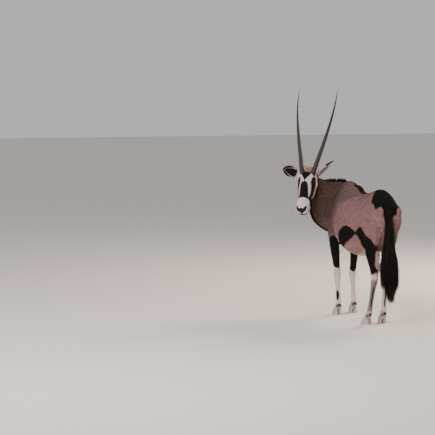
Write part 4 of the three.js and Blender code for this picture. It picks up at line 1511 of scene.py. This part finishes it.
# The mane's locks, from the withers to the poll
lock_paths, outs = [], []
MANE_LOCKS, MANE_EACH = 150, 14
MANE_FROM, MANE_TO = 0.12, 0.66
for i in range(MANE_LOCKS):
    place = MANE_FROM + (MANE_TO - MANE_FROM) * (i + random.random()) / MANE_LOCKS
    crest, throat, across, upward, _ = neck_ring(place)
    along = unit(neck_ring(min(1, place + 0.02))[0] - neck_ring(place - 0.02)[0])
    up = unit(upward - along * (upward @ along))
    aside_part = random.normal(0, 4.0)
    full = min(1, 0.5 + (place - MANE_FROM) * 5, 0.3 + (MANE_TO - place) * 8)
    long = (16 + 19 * random.random() ** 2) * full
    start = crest - up * (8 + abs(aside_part) * 0.35) + across * aside_part
    way = unit(up - along * 0.45 + across * aside_part * 0.03)
    lock_paths.append(start + way * long * t[0] - along * 0.42 * long * t[0] ** 2)
    outs.append(across if aside_part > 0 else -across)
spread = 3.6 + 1.5 * random.random(MANE_LOCKS)
mane_paths = gathered(np.array(lock_paths), MANE_EACH, spread, 0.07, LONG, 0.6)
mane_up = np.repeat(np.array(outs), MANE_EACH, 0)
mane_made = long_piece("mane", mane_paths, mane_up, 3.2, LONG, black_hair, "black_hair")

# The tuft between the horns
SHORT = (0, 0.35, 0.7, 1)
t = np.asarray(SHORT)[None, :, None]
lock_paths, outs = [], []
POLL_LOCKS, POLL_EACH = 44, 12
POLL_DROOP = np.array([-0.38, 0, -0.12])
for i in range(POLL_LOCKS):
    spread = 2 * random.random() - 1
    start = np.array([18 + 44 * random.random(), spread * 27, -16])
    long = 22 + 18 * random.random()
    way = unit(np.array([-0.72, spread * 0.22, 0.66]))
    droop = POLL_DROOP + ASIDE * spread * 0.12
    lock_paths.append(start + way * long * t[0] + droop * long * t[0] ** 2)
    outs.append([0.2, 0, 1])
spread = 3 + 1.5 * random.random(POLL_LOCKS)
poll_paths = gathered(np.array(lock_paths), POLL_EACH, spread, 0.08, SHORT, 0.5)
poll_up = np.repeat(np.array(outs, float), POLL_EACH, 0)
poll_made = long_piece("poll_tuft", poll_paths, poll_up, 2.6, SHORT, pale_hair, "pale_coat", HEAD)

# Soft hair inside the rims of the ears
ear_paths, outs = [], []
EAR_STRANDS = 420
for name in EARS:
    root, along, front, across = ear_axes(name)
    for i in range(EAR_STRANDS):
        share = 0.1 + 0.48 * random.random()
        _, half_wide, deep = smooth_row(EAR_ROWS[name], (share + 0.12) / 1.12)
        side = 1 if random.random() < 0.5 else -1
        inward = 0.60 + 0.26 * random.random() if name == "left" else 0.84 + 0.08 * random.random()
        start = root + along * share * EAR_LENGTH + across * side * half_wide * inward
        start = start - front * deep * (0.62 - 0.62 * inward**2)
        way = unit(-across * side * 0.75 + along * 0.75 + front * 0.25)
        long = half_wide * (0.30 + 0.22 * random.random()) * (1 if name == "left" else 0.5)
        ear_paths.append(start + way * long * t[0] + front * 0.15 * long * t[0] ** 2)
        outs.append(front)
ear_up = np.array(outs)
ear_made = long_piece("ear_hair", np.array(ear_paths), ear_up, 1.7, SHORT, ear_pale, "pale_coat", HEAD)
print("long hair triangles:", tail_made, mane_made, poll_made, ear_made)

# %% [markdown]
# ## Horns
# A gemsbok's horns are long rapiers: close rings round the lower half and more, worn
# smoother towards the middle, and a plain sharp top. They are lofted along the measured
# line. Each ring swells slowly and drops sharply, a little more at the front, and the
# finish adds lengthwise streaks and pale worn edges.

# %% Ringed horns
HORN_LINE = [
    [96, 42, -34], [50, 52, -4], [-60, 74, 24], [-230, 112, 62], [-410, 148, 96], [-590, 174, 122],
    [-752, 186, 138],
]
HORN_BOW = {"left": 14, "right": 0}
HORN_BASE, HORN_TIP = 22, 1.2
# Shares of the length where the rings start and end
RINGS_FROM, RINGED, RINGS = 0.085, 0.60, 34


def smooth_line(places, count):
    """Evenly spaced places on a curve through the given ones."""
    places = np.asarray(places, float)
    knots = np.concatenate([[0], np.cumsum(np.linalg.norm(np.diff(places, axis=0), axis=1) ** 0.5)])
    ends = np.vstack([2 * places[0] - places[1], places, 2 * places[-1] - places[-2]])
    at_ends = np.concatenate([[-knots[1]], knots, [2 * knots[-1] - knots[-2]]])
    dense = []
    for k in range(1, len(ends) - 2):
        p0, p1, p2, p3 = ends[k - 1 : k + 3]
        t0, t1, t2, t3 = at_ends[k - 1 : k + 3]
        for u in np.linspace(t1, t2, 60, endpoint=k == len(ends) - 3):
            a1 = (t1 - u) / (t1 - t0) * p0 + (u - t0) / (t1 - t0) * p1
            a2 = (t2 - u) / (t2 - t1) * p1 + (u - t1) / (t2 - t1) * p2
            a3 = (t3 - u) / (t3 - t2) * p2 + (u - t2) / (t3 - t2) * p3
            b1 = (t2 - u) / (t2 - t0) * a1 + (u - t0) / (t2 - t0) * a2
            b2 = (t3 - u) / (t3 - t1) * a2 + (u - t1) / (t3 - t1) * a3
            dense.append((t2 - u) / (t2 - t1) * b1 + (u - t1) / (t2 - t1) * b2)
    dense = np.array(dense)
    gone = np.concatenate([[0], np.cumsum(np.linalg.norm(np.diff(dense, axis=0), axis=1))])
    even = np.linspace(0, gone[-1], count)
    return np.column_stack([np.interp(even, gone, column) for column in dense.T])


def horn_material():
    made, tree, shader = material("ringed_horn", 0.42, 0.5)
    cloud = tree.cloud(30.0, 4.0)
    streak = (tree.read("turn") * 26 + cloud * 1.5).lines(3.0)
    base = cloud.mix((0.009, 0.007, 0.006, 1), (0.024, 0.019, 0.017, 1))
    worn = ((tree.read("swell") * 1.15 - 0.35) * (streak * 0.9 + 0.25)).clamp()
    colour = worn.mix(base, (0.090, 0.072, 0.065, 1))
    colour = (tree.read("far") * 0.85).mix(colour, (0.007, 0.006, 0.005, 1))
    feed(shader, "Base Color", colour)
    feed(shader, "Roughness", 0.56 - tree.read("far") * 0.26 + streak * 0.1)
    roughen(shader, 0.6, 0.0012, streak + cloud * 0.3)
    return made


horn_finish = horn_material()
for name, side in LEFT_OF.items():
    bow = HORN_BOW[name] * np.sin(np.pi * np.arange(len(HORN_LINE)) / (len(HORN_LINE) - 1))
    line = smooth_line([[x, (y + b) * side, z] for (x, y, z), b in zip(HORN_LINE, bow)], 420)
    shares = np.linspace(0, 1, len(line))
    wave = (shares - RINGS_FROM) / (RINGED - RINGS_FROM) * RINGS
    wave = np.where(shares > RINGS_FROM, wave + 0.35 * np.sin(wave * 1.9), 0)
    swell = (wave % 1) ** 1.6
    swell = np.where((wave % 1) > 0.86, swell * (1 - (wave % 1)) / 0.14, swell)
    fade = blend(shares, 0.03, 0.09) * blend(shares, RINGED + 0.03, RINGED - 0.22)
    radius = (HORN_TIP + HORN_BASE * (1 - shares) ** 0.75) * (0.965 + 0.105 * swell * fade)
    ways = np.gradient(line, axis=0)
    rings = []
    for centre, way, thick in zip(line, ways, radius):
        way = unit(way)
        across = unit(np.cross(UP, way))
        rings.append(oval(centre, across, unit(np.cross(way, across)), thick * 0.97, thick * 1.03, thick))
    bm = bmesh.new()
    loft(bm, rings, 36, HEAD)
    mesh = mesh_from(bm, f"horn_{name}_ringed")
    local = to_head(arrays(mesh)[0])
    step = np.array([np.linalg.norm(local - p, axis=1) for p in line[::2]]).argmin(0) * 2
    rel = local - line[step]
    give(mesh, {
        "swell": (swell * fade)[step], "far": blend(shares[step], RINGED - 0.12, RINGED + 0.1),
        "turn": np.arctan2(rel[:, 1], rel[:, 2]) / math.pi,
    })
    show(mesh, f"horn_{name}_ringed", horn_finish, "horn", f"horn_{name}")
print("horns:", len(mesh.polygons), "faces each,", RINGS, "rings")

# %% [markdown]
# ## Eyes
# An antelope's eye is large, dark and set at the side, with a pupil that lies level. The
# ball fills its socket to the lids. Iris and pupil are kept as numbers over the ball,
# measured from the line of sight, and a clear glossy coat gives the wet shine.

# %% Eyeballs


def eye_material():
    made, tree, shader = material("dark_eye", 0.12, 0.6)
    fleck = tree.cloud(500.0, 3.0)
    iris = (tree.read("iris") * 4 + 0.5).clamp()
    pupil = (tree.read("pupil") * 6 + 0.5).clamp()
    colour = iris.mix((0.030, 0.020, 0.016, 1), (0.10, 0.048, 0.022, 1))
    colour = (fleck * iris * 0.6).clamp().mix(colour, (0.045, 0.022, 0.012, 1))
    feed(shader, "Base Color", pupil.mix(colour, (0.003, 0.003, 0.004, 1)))
    shader.inputs["Coat Weight"].default_value = 1.0
    shader.inputs["Coat Roughness"].default_value = 0.03
    return made


eye_finish = eye_material()
for name, side in LEFT_OF.items():
    bm = bmesh.new()
    egg(bm, EYE * (1, side, 1), [EYE_RADIUS] * 3, HEAD, around=64, high=40)
    mesh = mesh_from(bm, f"eyeball_{name}")
    ball = arrays(mesh)[0]
    rel = (to_head(ball) - EYE * (1, side, 1)) / EYE_RADIUS
    gaze = unit(np.array([0.32, side, 0.10]))
    level = unit(np.cross(gaze, UP))
    rise = np.cross(level, gaze)
    front = rel @ gaze
    off = np.hypot(rel @ level, rel @ rise)
    bulge = 0.07 * np.clip(1 - (off / 0.62) ** 2, 0, 1) * (front > 0)
    outward = (rel @ HEAD_AXES)[:, [1, 0, 2]] * [1, -1, 1]
    put(mesh, ball + outward * (bulge * EYE_RADIUS * MM)[:, None])
    give(mesh, {
        "iris": np.where(front > 0, 0.66 - off, -1),
        "pupil": np.where(front > 0, 1 - np.hypot(rel @ level / 0.44, rel @ rise / 0.21), -1),
    })
    show(mesh, f"eyeball_{name}", eye_finish, "eye", f"eye_{name}")
print("eyes set")

# %% [markdown]
# ## Hooves
# Each foot has two claws with a narrow gap, steep in front and flat below. A loft of
# rounded pointed ovals gives the claw, and its lowest edge is bevelled by one more ring.
# Growth lines run round it, and the wall is a pale grey-brown that grows paler towards its
# lower edge. Two small dark dewclaws sit behind each pastern.

# %% Split hooves
CORONETS = {
    "left_fore": ((948, 130, 58), 8), "right_fore": ((1028, -50, 58), -8),
    "left_hind": ((258, 110, 58), 24), "right_hind": ((286, -42, 58), -6),
}
CLAW_SPREAD = 18
# Share of the way down, half width, to the front, to the back
CLAW_LEVELS = [
    [-0.03, 13.5, 25, 26], [0.0, 15.6, 29, 29.5], [0.10, 16.3, 34, 31.5], [0.32, 17.4, 43, 35],
    [0.55, 18.0, 51, 37.5], [0.75, 18.6, 59, 39], [0.93, 19.0, 67.5, 40], [0.985, 18.6, 68.8, 39.6],
    [1.0, 17.2, 66.5, 38],
]


def hoof_material():
    made, tree, shader = material("worn_hoof", 0.5, 0.4)
    cloud = tree.cloud(55.0, 4.0)
    lines = (tree.read("down") * 34 + cloud * 1.2).lines(2.0)
    # The wall is a pale grey-brown.
    base = cloud.mix((0.300, 0.240, 0.240, 1), (0.500, 0.420, 0.420, 1))
    base = (lines * 0.6).mix(base, (0.60, 0.52, 0.52, 1))
    # The wall grows paler towards its lower edge.
    paler_below = ((tree.read("down") * 1.5 - 0.75) * (cloud * 1.3)).clamp()
    colour = paler_below.mix(base, (0.60, 0.47, 0.42, 1))
    dark = ((tree.read("front") - 1.2) * 2.0).clamp() * 0.93
    feed(shader, "Base Color", dark.mix(colour, (0.05, 0.040, 0.038, 1)))
    feed(shader, "Roughness", 0.45 + cloud * 0.25)
    roughen(shader, 0.5, 0.001, lines + cloud * 0.4)
    return made


hoof_finish = hoof_material()
for name, ((cf, cl, cz), toe) in CORONETS.items():
    leg_side = 1 if name.startswith("left") else -1
    turn = math.radians(toe)
    ahead_way = np.array([math.cos(turn), math.sin(turn), 0])
    left_way = np.array([-math.sin(turn), math.cos(turn), 0])
    for which, side in (("inner", -leg_side), ("outer", leg_side)):
        rings = []
        for i in range(26):
            down, half, front, back = smooth_row(CLAW_LEVELS, i / 25)
            level = (cz - 1) * (1 - down)
            centre = np.array([cf, cl, level]) + left_way * side * CLAW_SPREAD

            def claw(c, s, centre=centre, half=half, front=front, back=back, side=side):
                point = 1 - 0.45 * s**2 if s > 0 else 1 - 0.12 * s**2
                inner = 0.86 if c * side < 0 else 1.0
                length = front if s > 0 else back
                return centre + left_way * (half * point * inner * c) + ahead_way * (length * s)

            rings.append(claw)
        bm = bmesh.new()
        loft(bm, rings, 40, ANIMAL)
        mesh = mesh_from(bm, f"{name}_{which}_claw")
        spots = to_animal(arrays(mesh)[0])
        give(mesh, {"down": 1 - spots[:, 2] / cz, "front": ((spots - [cf, cl, 0]) @ ahead_way) / 70})
        show(mesh, f"{name}_{which}_claw", hoof_finish, "hoof", f"{name}_{which}_hoof")
DEWCLAW, DARK = (10, 8.5, 15), 3.0
for name, ((cf, cl, cz), toe) in CORONETS.items():
    bm = bmesh.new()
    for side in (1, -1):
        egg(bm, (cf - 42, cl + 17 * side, 84), DEWCLAW, ANIMAL, (0, 24, 0), around=20, high=14)
    mesh = mesh_from(bm, f"{name}_dewclaws")
    count = len(mesh.vertices)
    give(mesh, {"down": np.full(count, 0.2), "front": np.full(count, DARK)})
    show(mesh, f"{name}_dewclaws", hoof_finish, "hoof")
print("hooves:", 2 * len(CORONETS), "claws,", 2 * len(CORONETS), "dewclaws")
